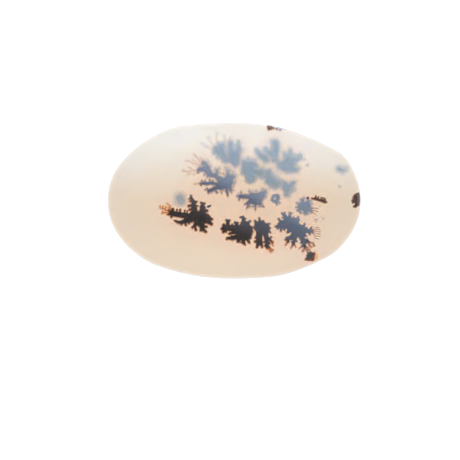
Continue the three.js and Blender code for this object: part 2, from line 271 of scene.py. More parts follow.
class Nodes:
    """Adds nodes to one tree and joins their sockets."""

    def __init__(self, tree: bpy.types.NodeTree) -> None:
        """Take the node tree of a material, a world or a group."""
        self.tree = tree

    def add(self, kind: str, **settings: object) -> bpy.types.Node:
        """Add a node.

        Args:
            kind: Blender's name for the node.
            settings: Values set on the node itself.

        Returns:
            The new node.
        """
        node = self.tree.nodes.new(kind)
        for name, value in settings.items():
            setattr(node, name, value)
        return node

    def join(self, source: bpy.types.NodeSocket, target: bpy.types.NodeSocket) -> None:
        """Link an output to an input."""
        self.tree.links.new(source, target)

    def math(self, operation: str, first: object, second: object) -> bpy.types.NodeSocket:
        """Do arithmetic on two values or sockets.

        Args:
            operation: Blender's name for the operation.
            first: A number or an output.
            second: A number or an output.

        Returns:
            The output that holds the result.
        """
        node = self.add("ShaderNodeMath", operation=operation)
        for index, value in enumerate((first, second)):
            self.feed(value, node.inputs[index])
        return node.outputs[0]

    def feed(self, value: object, target: bpy.types.NodeSocket) -> None:
        """Give an input a number or a colour, or link it to an output.

        Args:
            value: A number, a colour or an output.
            target: The input that takes it.
        """
        if isinstance(value, bpy.types.NodeSocket):
            self.join(value, target)
        elif isinstance(value, tuple):
            target.default_value = (*value, 1.0)
        else:
            target.default_value = value

    def blend(self, share: object, first: object, second: object) -> bpy.types.NodeSocket:
        """Mix two colours.

        Args:
            share: How much of the second one shows, from 0 to 1.
            first: A colour or an output.
            second: A colour or an output.

        Returns:
            The mixed colour.
        """
        node = self.add("ShaderNodeMix", data_type="RGBA")
        self.feed(share, node.inputs[0])
        self.feed(first, node.inputs[6])
        self.feed(second, node.inputs[7])
        return node.outputs[2]

    def ease(self, mask: bpy.types.NodeSocket, depth: float) -> bpy.types.NodeSocket:
        """Turn a mask from 0 to 1 into a share from 1 less the depth to 1."""
        return self.math("ADD", self.math("MULTIPLY", mask, depth), 1.0 - depth)

    def ramp(
        self, source: bpy.types.NodeSocket, stops: list[tuple[float, Colour]]
    ) -> bpy.types.NodeSocket:
        """Turn a number into a colour.

        Args:
            source: The number.
            stops: The colours and the numbers that they stand at, from low to high.

        Returns:
            The colour.
        """
        node = self.add("ShaderNodeValToRGB")
        elements = node.color_ramp.elements
        while len(elements) < len(stops):
            elements.new(1.0)
        for element, (place, colour) in zip(elements, stops):
            element.position = place
            element.color = (*colour, 1.0)
        self.join(source, node.inputs[0])
        return node.outputs[0]


def new_material(name: str) -> tuple[bpy.types.Material, Nodes, bpy.types.Node]:
    """Start a material.

    Args:
        name: Its name.

    Returns:
        The material, its nodes, and its Principled shader.
    """
    material = bpy.data.materials.new(name)
    material.use_nodes = True
    return material, Nodes(material.node_tree), material.node_tree.nodes["Principled BSDF"]


@dataclass(frozen=True)
class Mottle:
    """The uneven cloudiness that the stone and its minerals share, as one node group."""

    name: str = "mineral mottle"
    detail: float = 4.0
    roughness: float = 0.6
    clear_below: float = 0.35
    full_above: float = 0.65

    def group(self) -> bpy.types.NodeTree:
        """Build the group, or find it if it is there.

        Returns:
            A group that turns a scale into a mask of soft patches.
        """
        if self.name in bpy.data.node_groups:
            return bpy.data.node_groups[self.name]
        group = bpy.data.node_groups.new(self.name, "ShaderNodeTree")
        group.interface.new_socket("Scale", in_out="INPUT", socket_type="NodeSocketFloat")
        group.interface.new_socket("Mask", in_out="OUTPUT", socket_type="NodeSocketFloat")
        nodes = Nodes(group)
        inside = nodes.add("NodeGroupInput")
        outside = nodes.add("NodeGroupOutput")
        place = nodes.add("ShaderNodeTexCoord")
        noise = nodes.add("ShaderNodeTexNoise")
        noise.inputs["Detail"].default_value = self.detail
        noise.inputs["Roughness"].default_value = self.roughness
        spread = nodes.add("ShaderNodeMapRange", interpolation_type="SMOOTHSTEP")
        spread.inputs["From Min"].default_value = self.clear_below
        spread.inputs["From Max"].default_value = self.full_above
        nodes.join(place.outputs["Object"], noise.inputs["Vector"])
        nodes.join(inside.outputs["Scale"], noise.inputs["Scale"])
        nodes.join(noise.outputs["Fac"], spread.inputs["Value"])
        nodes.join(spread.outputs["Result"], outside.inputs["Mask"])
        return group

    def place(self, nodes: Nodes, patch: float) -> bpy.types.NodeSocket:
        """Place the cloudiness in a material.

        Args:
            nodes: The material's nodes.
            patch: The size of a patch, in millimetres.

        Returns:
            A mask of soft patches.
        """
        node = nodes.add("ShaderNodeGroup", node_tree=self.group())
        node.inputs["Scale"].default_value = 1.0 / (patch * MM)
        return node.outputs["Mask"]


def attribute(nodes: Nodes, name: str) -> bpy.types.NodeSocket:
    """Read the numbers stored on a piece's vertices under a name."""
    return nodes.add("ShaderNodeAttribute", attribute_name=name).outputs["Fac"]


@dataclass(frozen=True)
class Chalcedony:
    """The stone itself: see-through, milky all through, warm in colour, and polished."""

    pale: Colour = (0.85, 0.905, 1.0)
    peach: Colour = (0.785, 0.707, 0.63)
    glow: Colour = (0.86, 0.65, 0.625)
    # Painted shade: a darker tint blended in along the stone's outline.
    edge: Colour = (0.74, 0.71, 0.68)
    # Peach below, pale above: partly the stone's own colour, partly painted light for the brighter light
    # at its upper end.
    peach_below: float = -0.5
    pale_above: float = 7.5
    cloud_size: float = 6.0
    cloud_depth: float = 0.15
    index: float = 1.54
    polish: float = 0.03
    scatter: Colour = (0.18, 0.40, 1.0)
    scatter_per_metre: float = 240.0

    def make(self) -> bpy.types.Material:
        """Build the material.

        Returns:
            A see-through material with milk in it.
        """
        material, nodes, shader = new_material("milky chalcedony")
        nodes.join(self.body_colour(nodes), shader.inputs["Base Color"])
        shader.inputs["IOR"].default_value = self.index
        shader.inputs["Roughness"].default_value = self.polish
        shader.inputs["Transmission Weight"].default_value = 1.0
        milk = nodes.add("ShaderNodeVolumeScatter")
        milk.inputs["Color"].default_value = (*self.scatter, 1.0)
        milk.inputs["Density"].default_value = self.scatter_per_metre
        nodes.join(milk.outputs[0], nodes.tree.nodes["Material Output"].inputs["Volume"])
        return material

    def body_colour(self, nodes: Nodes) -> bpy.types.NodeSocket:
        """Make the stone's tint: peach below and pale above, which is partly painted light, pinker round
        the growths, and with a painted shade near its outline.

        Args:
            nodes: The material's nodes.

        Returns:
            The tint.
        """
        place = nodes.add("ShaderNodeTexCoord").outputs["Object"]
        split = nodes.add("ShaderNodeSeparateXYZ")
        nodes.join(place, split.inputs[0])
        height = nodes.add("ShaderNodeMapRange")
        height.inputs["From Min"].default_value = self.peach_below * MM
        height.inputs["From Max"].default_value = self.pale_above * MM
        nodes.join(split.outputs["Y"], height.inputs["Value"])
        clouds = nodes.math("MULTIPLY", Mottle().place(nodes, self.cloud_size), self.cloud_depth)
        share = nodes.math("MAXIMUM", nodes.math("SUBTRACT", height.outputs["Result"], clouds), 0.0)
        # Painted light in part: the tint turns paler towards the top.
        plain = nodes.blend(share, self.peach, self.pale)
        body = nodes.blend(attribute(nodes, "glow"), plain, self.glow)
        # Painted shade along the outline, by the edge mask.
        return nodes.blend(attribute(nodes, "edge"), body, self.edge)


def dull(shader: bpy.types.Node, roughness: float, gloss: float = 0.1) -> None:
    """Give a surface its roughness and next to no gloss."""
    shader.inputs["Roughness"].default_value = roughness
    shader.inputs["Specular IOR Level"].default_value = gloss


@dataclass(frozen=True)
class ManganeseOxide:
    """The dark mineral: sooty near the top of the stone, paler and bluer where it is deep, which is
    painted light for the milk's scattered light over it.
    """

    soot: Colour = (0.053, 0.043, 0.039)
    ashen: Colour = (0.096, 0.083, 0.087)
    dusk: Colour = (0.14, 0.156, 0.20)
    # From slate to haze the colours are painted light: the milk's scattered light over the deeper
    # growths.
    slate: Colour = (0.19, 0.265, 0.40)
    steel: Colour = (0.345, 0.475, 0.69)
    blue: Colour = (0.60, 0.85, 1.0)
    haze: Colour = (0.66, 0.91, 1.0)
    brown: Colour = (0.19, 0.055, 0.018)
    brown_to: float = 0.5
    crumb: float = 0.25
    crumb_depth: float = 0.5
    ash: Colour = (0.22, 0.19, 0.17)
    cloud: Colour = (0.50, 0.66, 0.90)
    patch: float = 0.4
    patch_depth: float = 0.25
    roughness: float = 0.85

    def make(self, mineral: Mineral) -> bpy.types.Material:
        """Build the material.

        Args:
            mineral: The solid kind or the veil.

        Returns:
            A dull material, coloured by depth with painted milk light, with brown at the tips of the
            shallow growths.
        """
        material, nodes, shader = new_material(mineral.value)
        depth = attribute(nodes, "depth")
        # Painted light: paler and bluer with depth, for the milk's scattered light over the growth.
        near = [(0.0, self.soot), (0.08, self.ashen), (0.2, self.dusk), (0.385, self.slate)]
        far = [(0.45, self.steel), (0.62, self.blue), (1.0, self.haze)]
        plain = nodes.ramp(depth, near + far)
        patches = nodes.math("MULTIPLY", Mottle().place(nodes, self.patch), self.patch_depth)
        # The patches also turn paler and bluer with depth: the same painted milk light.
        body = nodes.blend(patches, plain, nodes.blend(depth, self.ash, self.cloud))
        crumbs = nodes.ease(Mottle().place(nodes, self.crumb), self.crumb_depth)
        past = nodes.math("DIVIDE", depth, self.brown_to)
        shallow = nodes.math("MAXIMUM", nodes.math("SUBTRACT", 1.0, past), 0.0)
        edge = nodes.math("MULTIPLY", nodes.math("MULTIPLY", attribute(nodes, "tip"), crumbs), shallow)
        nodes.join(nodes.blend(edge, body, self.brown), shader.inputs["Base Color"])
        if mineral is Mineral.HAZE:
            nodes.join(attribute(nodes, "opacity"), shader.inputs["Alpha"])
        dull(shader, self.roughness)
        return material


@dataclass(frozen=True)
class IronOxide:
    """The rusty mineral in the finest branches: burgundy, brown, rust, orange or tan.

    Its solid kind is opaque. Its stain is a clear film that tints the light from behind.
    """

    burgundy: Colour = (0.07, 0.026, 0.018)
    brown: Colour = (0.26, 0.09, 0.035)
    rust: Colour = (0.55, 0.25, 0.12)
    orange: Colour = (0.95, 0.55, 0.20)
    tan: Colour = (0.92, 0.72, 0.50)
    crumb: float = 0.3
    crumb_shade: float = 0.12
    crumb_depth: float = 0.3
    roughness: float = 0.8

    def make(self, mineral: Mineral) -> bpy.types.Material:
        """Build the material.

        Args:
            mineral: The solid kind or the stain.

        Returns:
            A dull material or a clear tinting one.
        """
        material, nodes, shader = new_material(mineral.value)
        crumbs = Mottle().place(nodes, self.crumb)
        lighter = nodes.math("MULTIPLY", crumbs, self.crumb_shade)
        shade = nodes.math("ADD", attribute(nodes, "shade"), lighter)
        dark = [(0.0, self.burgundy), (0.3, self.brown), (0.6, self.rust)]
        light = [(0.8, self.orange), (1.0, self.tan)]
        nodes.join(nodes.ramp(shade, dark + light), shader.inputs["Base Color"])
        if mineral is Mineral.STAIN:
            patchy = nodes.ease(crumbs, self.crumb_depth)
            cover = nodes.math("MULTIPLY", attribute(nodes, "opacity"), patchy)
            nodes.join(cover, shader.inputs["Alpha"])
            shader.inputs["Transmission Weight"].default_value = 1.0
            shader.inputs["IOR"].default_value = 1.0
            shader.inputs["Roughness"].default_value = 0.0
        else:
            dull(shader, self.roughness)
        return material


@dataclass(frozen=True)
class GrowthLayer:
    """The sloping crack in the stone that the minerals grew along, and the milk over it."""

    level_x: float = -4.55
    level_y: float = -1.80
    down_per_x: float = 0.154
    down_per_y: float = 0.308
    deepest: float = 3.9
    blur_at_one: float = 0.05
    blur_power: float = 2.2
    blur_most: float = 0.5

    def depth(self, places: np.ndarray) -> np.ndarray:
        """Give the layer's depth under the top of the stone.

        Args:
            places: Rows that start with x and y, in millimetres.

        Returns:
            A depth for each row, in millimetres.
        """
        down = self.down_per_x * (places[:, 0] - self.level_x)
        down = down + self.down_per_y * (places[:, 1] - self.level_y)
        return np.clip(down, 0.0, self.deepest)

    def blur(self, depth: np.ndarray) -> np.ndarray:
        """Give how far the milk blurs an edge to each side at some depths, in millimetres."""
        return np.minimum(self.blur_at_one * depth**self.blur_power, self.blur_most)


def stone_at(surface: BVHTree, x: float, y: float) -> tuple[float, float]:
    """Find the stone's lowest and highest point over one spot.

    Args:
        surface: The stone's surface, in metres.
        x: Where the spot is, in millimetres.
        y: Where the spot is, in millimetres.

    Returns:
        The two heights, in millimetres, or two middling ones beside the stone.
    """
    above = surface.ray_cast(Vector((x * MM, y * MM, RAY_START)), Vector((0, 0, -1)))[0]
    below = surface.ray_cast(Vector((x * MM, y * MM, -RAY_START)), Vector((0, 0, 1)))[0]
    if above is None or below is None:
        return BESIDE_STONE
    return (below.z / MM, above.z / MM)


def smooth(share: np.ndarray) -> np.ndarray:
    """Ease a share in and out, so that it starts and ends flat at 0 and 1."""
    inside = np.clip(share, 0.0, 1.0)
    return inside * inside * (3 - 2 * inside)


@dataclass
class Growth:
    """One fern-like mineral growth: limbs with knobs, flat, lying in the stone.

    Lengths are in millimetres. A growth lies in the stone's crack, raised by its lift, or is buried
    at a depth of its own. Plump is how much wider than its limbs it is drawn, grain how fine its
    surface is, and reach how far it is drawn past its own edge. Soft is how much the milk over the
    growth blurs it, with 1 for the blur of its depth, and rust is how far an iron stain reaches
    round it. The shade picks the iron mineral's colour, from 0 for burgundy to 1 for tan. The tone,
    if given, picks the manganese mineral's colour in place of the depth. A growth that fades has an
    edge of that width, and covers at most its strength. Rods thinner than the thinnest are left out.
    """

    name: str
    limbs: tuple[Limb, ...]
    knobs: tuple[Knob, ...] = ()
    mineral: Mineral = Mineral.MANGANESE
    shade: float = 0.0
    thickness: float = 0.16
    grain: float = 0.045
    plump: float = 0.0
    buried: float | None = None
    lift: float = 0.0
    tone: float | None = None
    soft: float = 0.0
    rust: float = 0.0
    fade: float = 0.0
    strength: float = 1.0
    reach: float = 0.0
    sides: int = 10
    thinnest: float = 0.02
    rods: list[Rod] = field(default_factory=list)
    piece: bpy.types.Object | None = None

    def grow(self, layer: GrowthLayer) -> None:
        """Work out the rods of all its limbs, then of the knobs that stand on them.

        Args:
            layer: The crack that the growths lie in.
        """
        stems = [rod for limb in self.limbs for rod in limb.rods()]
        heads = []
        for x, y, radius in self.knobs:
            stem = min(stems, key=lambda rod: rod.clearance(np.array([(x, y)]))[0])
            heads.append(Rod(stem.nearest((x, y)), (x, y), radius * KNOB_NECK, radius, knob=True))
        wide = []
        for rod in stems + heads:
            ends = np.array([rod.start, rod.end])
            wide.append(rod.wider(*(self.plump + self.spread(ends, layer))))
        self.rods = [rod for rod in wide if max(rod.root, rod.tip) > self.thinnest] or wide[:1]

    def spread(self, spots: np.ndarray, layer: GrowthLayer) -> np.ndarray:
        """Give how much wider than its limbs it is drawn: narrower where a haze makes its edge."""
        return -self.softness(spots, layer)

    def depths(self, places: np.ndarray, layer: GrowthLayer) -> np.ndarray:
        """Give how deep it lies.

        Args:
            places: Rows that start with x and y, in millimetres.
            layer: The crack that the growths lie in.

        Returns:
            A depth for each row, in millimetres.
        """
        if self.buried is not None:
            return np.full(len(places), self.buried)
        return np.maximum(layer.depth(places) - self.lift, 0.0)

    def softness(self, places: np.ndarray, layer: GrowthLayer) -> np.ndarray:
        """Give how far its edge is blurred to each side at some places, in millimetres."""
        return self.soft * layer.blur(self.depths(places, layer))

    def model(self) -> None:
        """Model the rods and fuse them. One unit is one millimetre until it is buried."""
        bpy.ops.object.select_all(action="DESELECT")
        first = self.rods[0]
        bpy.ops.mesh.primitive_ico_sphere_add(
            subdivisions=BALL_STEPS, radius=first.root, location=(*first.start, 0.0)
        )
        self.piece = bpy.context.object
        self.piece.name = self.name + "_mineral"
        bpy.ops.object.transform_apply(location=True, rotation=True, scale=True)
        bpy.ops.object.mode_set(mode="EDIT")
        for rod in self.rods:
            rod.model(self.sides)
        bpy.ops.object.mode_set(mode="OBJECT")
        apply_modifier(self.piece, "REMESH", mode="VOXEL", voxel_size=self.grain)
        bpy.ops.object.shade_smooth()

    def bury(self, layer: GrowthLayer, surface: BVHTree) -> None:
        """Flatten the growth and lay it at its depth under the top of the stone.

        Args:
            layer: The crack that the growths lie in.
            surface: The stone's surface, in metres.
        """
        places = points_of(self.piece)
        half = self.thickness / 2
        flat = np.sign(places[:, 2]) * half * (1 - np.exp(-np.abs(places[:, 2]) / half))
        depth = self.depths(places, layer)
        # The depth, or the tone in its place, sets how much painted milk light the mineral shows.
        tone = depth / layer.deepest if self.tone is None else np.full(len(places), self.tone)
        mark_points(self.piece, "depth", tone)
        mark_points(self.piece, "tip", self.tips(places))
        mark_points(self.piece, "shade", self.shades(places))
        mark_points(self.piece, "opacity", 1 - np.sqrt(1 - self.cover(places, layer)))
        for index, (x, y, _) in enumerate(places):
            low, high = stone_at(surface, x, y)
            middle = max(high - SKIN - SOLID_HALF - depth[index], low + SKIN + SOLID_HALF)
            places[index, 2] = middle + flat[index]
        move_points(self.piece, places * MM)

    def tips(self, places: np.ndarray) -> np.ndarray:
        """Find how far out each point is: 1 on the knobs' heads, falling to 0 at the limbs' edges."""
        stems = [rod.clearance(places) for rod in self.rods if not rod.knob]
        return np.clip(np.min(stems, axis=0) / KNOB_EDGE, 0.0, 1.0)

    def clearance(self, places: np.ndarray) -> np.ndarray:
        """Measure how far points lie outside the growth's own edge, below zero inside it."""
        return np.min([rod.clearance(places) for rod in self.rods], axis=0) + self.reach

    def shades(self, places: np.ndarray) -> np.ndarray:
        """Give the iron mineral's shade at each point."""
        return np.full(len(places), self.shade)

    def cover(self, places: np.ndarray, layer: GrowthLayer) -> np.ndarray:
        """Work out how much of what is behind it each point hides.

        Args:
            places: Rows that start with x and y, in millimetres.
            layer: The crack that the growths lie in.

        Returns:
            1 for all of it, 0 for nothing.
        """
        if self.fade == 0.0:
            return np.ones(len(places))
        return self.strength * smooth(-self.clearance(places) / self.fade)

    def dress(self, materials: dict[Mineral, bpy.types.Material]) -> None:
        """Give the growth its mineral, fix it to the stone, and let it stand for its own solid.

        Args:
            materials: The material of each mineral.
        """
        self.piece.data.materials.append(materials[self.mineral])
        if self.name in frame["nodes"]:
            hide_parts(self.name)
        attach(self.piece, "root")


@dataclass
class Veil(Growth):
    """A thin sheet round another growth, drawn past its edge."""

    thickness: float = 0.05
    grain: float = 0.06

    @classmethod
    def over(cls, growth: Growth, mineral: Mineral, reach: float) -> "Veil":
        """Make the veil of a growth.

        Args:
            growth: The growth that it follows.
            mineral: The fading mineral.
            reach: How far it is drawn past the growth's edge.

        Returns:
            The veil, not yet modelled.
        """
        kept = {each.name: getattr(growth, each.name) for each in fields(growth)}
        name = growth.name + "_" + mineral.value.split()[-1]
        own = {"name": name, "mineral": mineral, "reach": reach, "rods": [], "piece": None}
        sheet = {"thickness": cls.thickness, "grain": cls.grain}
        return cls(**(kept | own | sheet))

    def spread(self, spots: np.ndarray, layer: GrowthLayer) -> np.ndarray:
        """Give how much wider than its limbs it is drawn."""
        return np.full(len(spots), self.reach)


@dataclass
class Haze(Veil):
    """The blurred edge of a deep growth, round its solid core, half inside the edge, half out.

    Where limbs meet, their edges melt together, the more the softer they are.
    """

    thickness: float = 0.2
    melt: float = 0.15
    inset: float = 0.05
    least_soft: float = 0.02

    def cover(self, places: np.ndarray, layer: GrowthLayer) -> np.ndarray:
        """Work out how much each point hides: all within the blurred edge, nothing past it.

        Args:
            places: Rows that start with x and y, in millimetres.
            layer: The crack that the growths lie in.

        Returns:
            1 for all of what is behind it, 0 for nothing.
        """
        soft = np.maximum(self.softness(places, layer), self.least_soft)
        each = np.array([rod.clearance(places) for rod in self.rods])
        nearest = each.min(axis=0)
        width = self.melt * soft
        melted = nearest - width * np.log(np.exp((nearest - each) / width).sum(axis=0))
        return smooth(0.5 - (melted + self.reach + self.inset) / (2 * soft))


@dataclass
class Halo(Veil):
    """Rust round a growth: brown at its edge, orange further out, and most of it on one side."""

    inner_shade: float = 0.22
    outer_shade: float = 0.9
    cover_at_edge: float = 0.95
    drift: Spot = (0.0, -0.05)
    none_below: float = 2.2

    def grow(self, layer: GrowthLayer) -> None:
        """Work out the rods as for a growth, all moved by the drift.

        Args:
            layer: The crack that the growths lie in.
        """
        super().grow(layer)
        shift = Vector(self.drift)
        self.rods = [
            replace(rod, start=tuple(Vector(rod.start) + shift), end=tuple(Vector(rod.end) + shift))
            for rod in self.rods
        ]

    def shades(self, places: np.ndarray) -> np.ndarray:
        """Give the iron mineral's shade at each point, by how far out it is.

        Args:
            places: Rows that start with x and y, in millimetres.

        Returns:
            The inner shade at the growth's edge, the outer one at the halo's reach.
        """
        out = np.clip(self.clearance(places) / self.reach, 0.0, 1.0)
        inner = max(self.inner_shade, self.shade)
        return inner + (self.outer_shade - inner) * out

    def cover(self, places: np.ndarray, layer: GrowthLayer) -> np.ndarray:
        """Work out how much each point hides: most at the growth's edge, nothing at its reach.

        Args:
            places: Rows that start with x and y, in millimetres.
            layer: The crack that the growths lie in.

        Returns:
            Less the deeper it is, and nothing where the growth is too deep to have rusted.
        """
        shallow = np.clip(1 - self.depths(places, layer) / self.none_below, 0.0, 1.0)
        return self.cover_at_edge * shallow * smooth(1 - self.clearance(places) / self.reach)


@dataclass
class StoneBody:
    """The polished stone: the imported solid's shape, smoothed."""

    node: str = "agate_stone"
    flat: float = 1e-6
    smoothing: int = 2
    back_borders: tuple[float, ...] = (0.15, 0.3, 1.2)
    quad_angle: float = 0.9
    glow_reach: float = 0.9
    glow_strength: float = 0.8
    glow_spared: float = 0.7
    glow_inset: float = 0.8
    edge_width: float = 0.35
    edge_strength: float = 0.9
    outline_steps: int = 180
    piece: bpy.types.Object | None = None

    def model(self) -> None:
        """Copy the solid's mesh, merge its loose triangles, fill its hollows, and round it."""
        select_only(frame["nodes"][self.node])
        bpy.ops.object.duplicate()
        self.piece = bpy.context.object
        self.piece.name = "polished_stone"
        self.piece.parent = None
        self.piece.data.materials.clear()
        bpy.ops.object.mode_set(mode="EDIT")
        bpy.ops.mesh.select_all(action="SELECT")
        bpy.ops.mesh.remove_doubles(threshold=self.flat)
        bpy.ops.mesh.select_all(action="DESELECT")
        bpy.ops.object.mode_set(mode="OBJECT")
        self.fill_hollows()
        bpy.ops.object.shade_smooth()
        apply_modifier(self.piece, "SUBSURF", levels=self.smoothing, render_levels=self.smoothing)

    def fill_hollows(self) -> None:
        """Make the stone solid: keep its outside, and close its flat back with borders and a fan."""
        mesh = self.piece.data
        heights = points_of(self.piece)[:, 2]
        for face in mesh.polygons:
            face.select = max(heights[list(face.vertices)]) < self.flat
        bpy.context.tool_settings.mesh_select_mode = (False, False, True)
        bpy.ops.object.mode_set(mode="EDIT")
        bpy.ops.mesh.delete(type="FACE")
        bpy.ops.mesh.select_mode(type="VERT")
        bpy.ops.mesh.select_all(action="DESELECT")
        bpy.ops.object.mode_set(mode="OBJECT")
        mesh.vertices[int(np.argmax(heights))].select = True
        bpy.ops.object.mode_set(mode="EDIT")
        bpy.ops.mesh.select_linked()
        bpy.ops.mesh.select_all(action="INVERT")
        bpy.ops.mesh.delete(type="VERT")
        bpy.ops.mesh.select_non_manifold()
        bpy.ops.mesh.edge_face_add()
        for width in self.back_borders:
            bpy.ops.mesh.inset(thickness=width * MM, use_even_offset=True)
        bpy.ops.mesh.poke()
        bpy.ops.mesh.select_all(action="SELECT")
        bpy.ops.mesh.tris_convert_to_quads(
            face_threshold=self.quad_angle, shape_threshold=self.quad_angle
        )
        bpy.ops.mesh.normals_make_consistent(inside=False)
        bpy.ops.object.mode_set(mode="OBJECT")

    def surface(self) -> BVHTree:
        """Give the stone's surface as a tree that rays can be cast at."""
        corners = [vertex.co[:] for vertex in self.piece.data.vertices]
        return BVHTree.FromPolygons(corners, [face.vertices[:] for face in self.piece.data.polygons])

    def stain(self, growths: list[Growth]) -> None:
        """Mark where iron has warmed the stone round the growths, and where the painted shade near its
        outline lies.

        Args:
            growths: The growths that the stain lies round.
        """
        places = points_of(self.piece) / MM
        nearest = np.full(len(places), np.inf)
        for growth in growths:
            for rod in growth.rods:
                nearest = np.minimum(nearest, rod.clearance(places))
        spread = np.exp(-np.maximum(nearest, 0.0) / self.glow_reach)
        spread = spread * (1 - self.glow_spared * smooth(0.5 - nearest / self.glow_inset))
        mark_points(self.piece, "glow", spread * self.glow_strength)
        # The edge mask is painted shade along the stone's outline.
        mark_points(self.piece, "edge", self.thinness(places) * self.edge_strength)

    def thinness(self, places: np.ndarray) -> np.ndarray:
        """Find how near points are to the stone's outline, seen from above, for the painted shade along
        the rim.

        Args:
            places: Rows that start with x and y, in millimetres.

        Returns:
            1 on the outline, falling to 0 at the rim shade's width from it.
        """
        turns = np.arctan2(places[:, 1], places[:, 0])
        away = np.hypot(places[:, 0], places[:, 1])
        bins = ((turns + math.pi) / (2 * math.pi) * self.outline_steps).astype(int)
        bins = bins % self.outline_steps
        outline = np.zeros(self.outline_steps)
        np.maximum.at(outline, bins, away)
        return smooth(1 - (outline[bins] - away) / self.edge_width)

    def dress(self, material: bpy.types.Material) -> None:
        """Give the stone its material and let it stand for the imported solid.

        Args:
            material: The chalcedony.
        """
        self.piece.data.materials.append(material)
        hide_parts(self.node)
        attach(self.piece, "root")


@dataclass(frozen=True)
class Studio:
    """A white table that glows, soft light from above, and a camera that looks straight down."""

    lens: float = 300.0
    sensor: float = 36.0
    focus_height: float = 2.5
    look_at_pixel: Spot = (230.0, 230.0)
    table_size: float = 0.6
    table_drop: float = 0.06
    table_white: Colour = (0.5, 0.5, 0.5)
    table_roughness: float = 0.9
    table_light: float = 0.75
    table_glow: float = 0.245
    glow_radius: float = 30.0
    white: Colour = (1.0, 1.0, 1.0)
    zenith: Colour = (0.42, 0.42, 0.42)
    zenith_from: float = 0.97
    overhead: Colour = (0.90, 0.98, 1.12)
    overhead_from: float = 0.7
    overhead_to: float = 0.93
    horizon: Colour = (0.40, 0.40, 0.42)
    horizon_to: float = 0.25
    sky: float = 1.15
    bounces: int = 32
    table_bounces: int = 8
    nearest_seen: float = 0.001
    farthest_seen: float = 10.0

    def make(self) -> None:
        """Set up the table, the sky and the camera."""
        self.table()
        self.set_sky()
        self.camera()
        scene = bpy.context.scene
        scene.view_settings.view_transform = "Standard"
        scene.cycles.max_bounces = self.bounces
        scene.cycles.transmission_bounces = self.bounces
        scene.cycles.volume_bounces = self.bounces
        scene.cycles.diffuse_bounces = self.table_bounces

    def table(self) -> None:
        """Make the table top, just under the stone's back. It glows, and most under the stone."""
        bpy.ops.object.select_all(action="DESELECT")
        bpy.ops.mesh.primitive_plane_add(size=self.table_size, location=(0, 0, -self.table_drop * MM))
        bpy.ops.object.transform_apply(location=True, rotation=True, scale=True)
        top = bpy.context.object
        top.name = "table_top"
        material, nodes, shader = new_material("white light table")
        dull(shader, self.table_roughness, gloss=0.0)
        shader.inputs["Base Color"].default_value = (*self.table_white, 1.0)
        shader.inputs["Emission Color"].default_value = (*self.white, 1.0)
        ring = nodes.add("ShaderNodeVectorMath", operation="LENGTH")
        nodes.join(nodes.add("ShaderNodeTexCoord").outputs["Object"], ring.inputs[0])
        fall = nodes.add("ShaderNodeMapRange", interpolation_type="SMOOTHSTEP")
        fall.inputs["From Max"].default_value = self.glow_radius * MM
        fall.inputs["To Min"].default_value = self.table_light + self.table_glow
        fall.inputs["To Max"].default_value = self.table_light
        nodes.join(ring.outputs["Value"], fall.inputs["Value"])
        nodes.join(fall.outputs["Result"], shader.inputs["Emission Strength"])
        top.data.materials.append(material)

    def set_sky(self) -> None:
        """Light the scene softly from above, less from the sides and from straight overhead.

        The camera itself sees a plain white backdrop.
        """
        world = bpy.data.worlds.new("studio")
        bpy.context.scene.world = world
        world.use_nodes = True
        nodes = Nodes(world.node_tree)
        lit = world.node_tree.nodes["Background"]
        split = nodes.add("ShaderNodeSeparateXYZ")
        nodes.join(nodes.add("ShaderNodeTexCoord").outputs["Generated"], split.inputs[0])
        low = [(0.0, self.horizon), (self.horizon_to, self.horizon)]
        high = [(self.overhead_from, self.overhead), (self.overhead_to, self.overhead)]
        top = [(self.zenith_from, self.zenith)]
        nodes.join(nodes.ramp(split.outputs["Z"], low + high + top), lit.inputs["Color"])
        lit.inputs["Strength"].default_value = self.sky
        seen = nodes.add("ShaderNodeBackground")
        seen.inputs["Color"].default_value = (*self.white, 1.0)
        choose = nodes.add("ShaderNodeMixShader")
        path = nodes.add("ShaderNodeLightPath")
        nodes.join(path.outputs["Is Camera Ray"], choose.inputs[0])
        nodes.join(lit.outputs[0], choose.inputs[1])
        nodes.join(seen.outputs[0], choose.inputs[2])
        nodes.join(choose.outputs[0], world.node_tree.nodes["World Output"].inputs["Surface"])

    def camera(self) -> None:
        """Place the camera over the middle of the photograph's frame."""
        across = (self.look_at_pixel[0] - STONE_CENTRE_PIXEL[0]) * MM_PER_PIXEL
        up = (STONE_CENTRE_PIXEL[1] - self.look_at_pixel[1]) * MM_PER_PIXEL
        away = FRAME_PIXELS * MM_PER_PIXEL * self.lens / self.sensor
        place = (across * MM, up * MM, (self.focus_height + away) * MM)
        bpy.ops.object.select_all(action="DESELECT")
        bpy.ops.object.camera_add(location=place, rotation=(0.0, 0.0, 0.0))
        camera = bpy.context.object
        camera.data.lens = self.lens
        camera.data.sensor_width = self.sensor
        camera.data.clip_start = self.nearest_seen
        camera.data.clip_end = self.farthest_seen
        bpy.context.scene.camera = camera


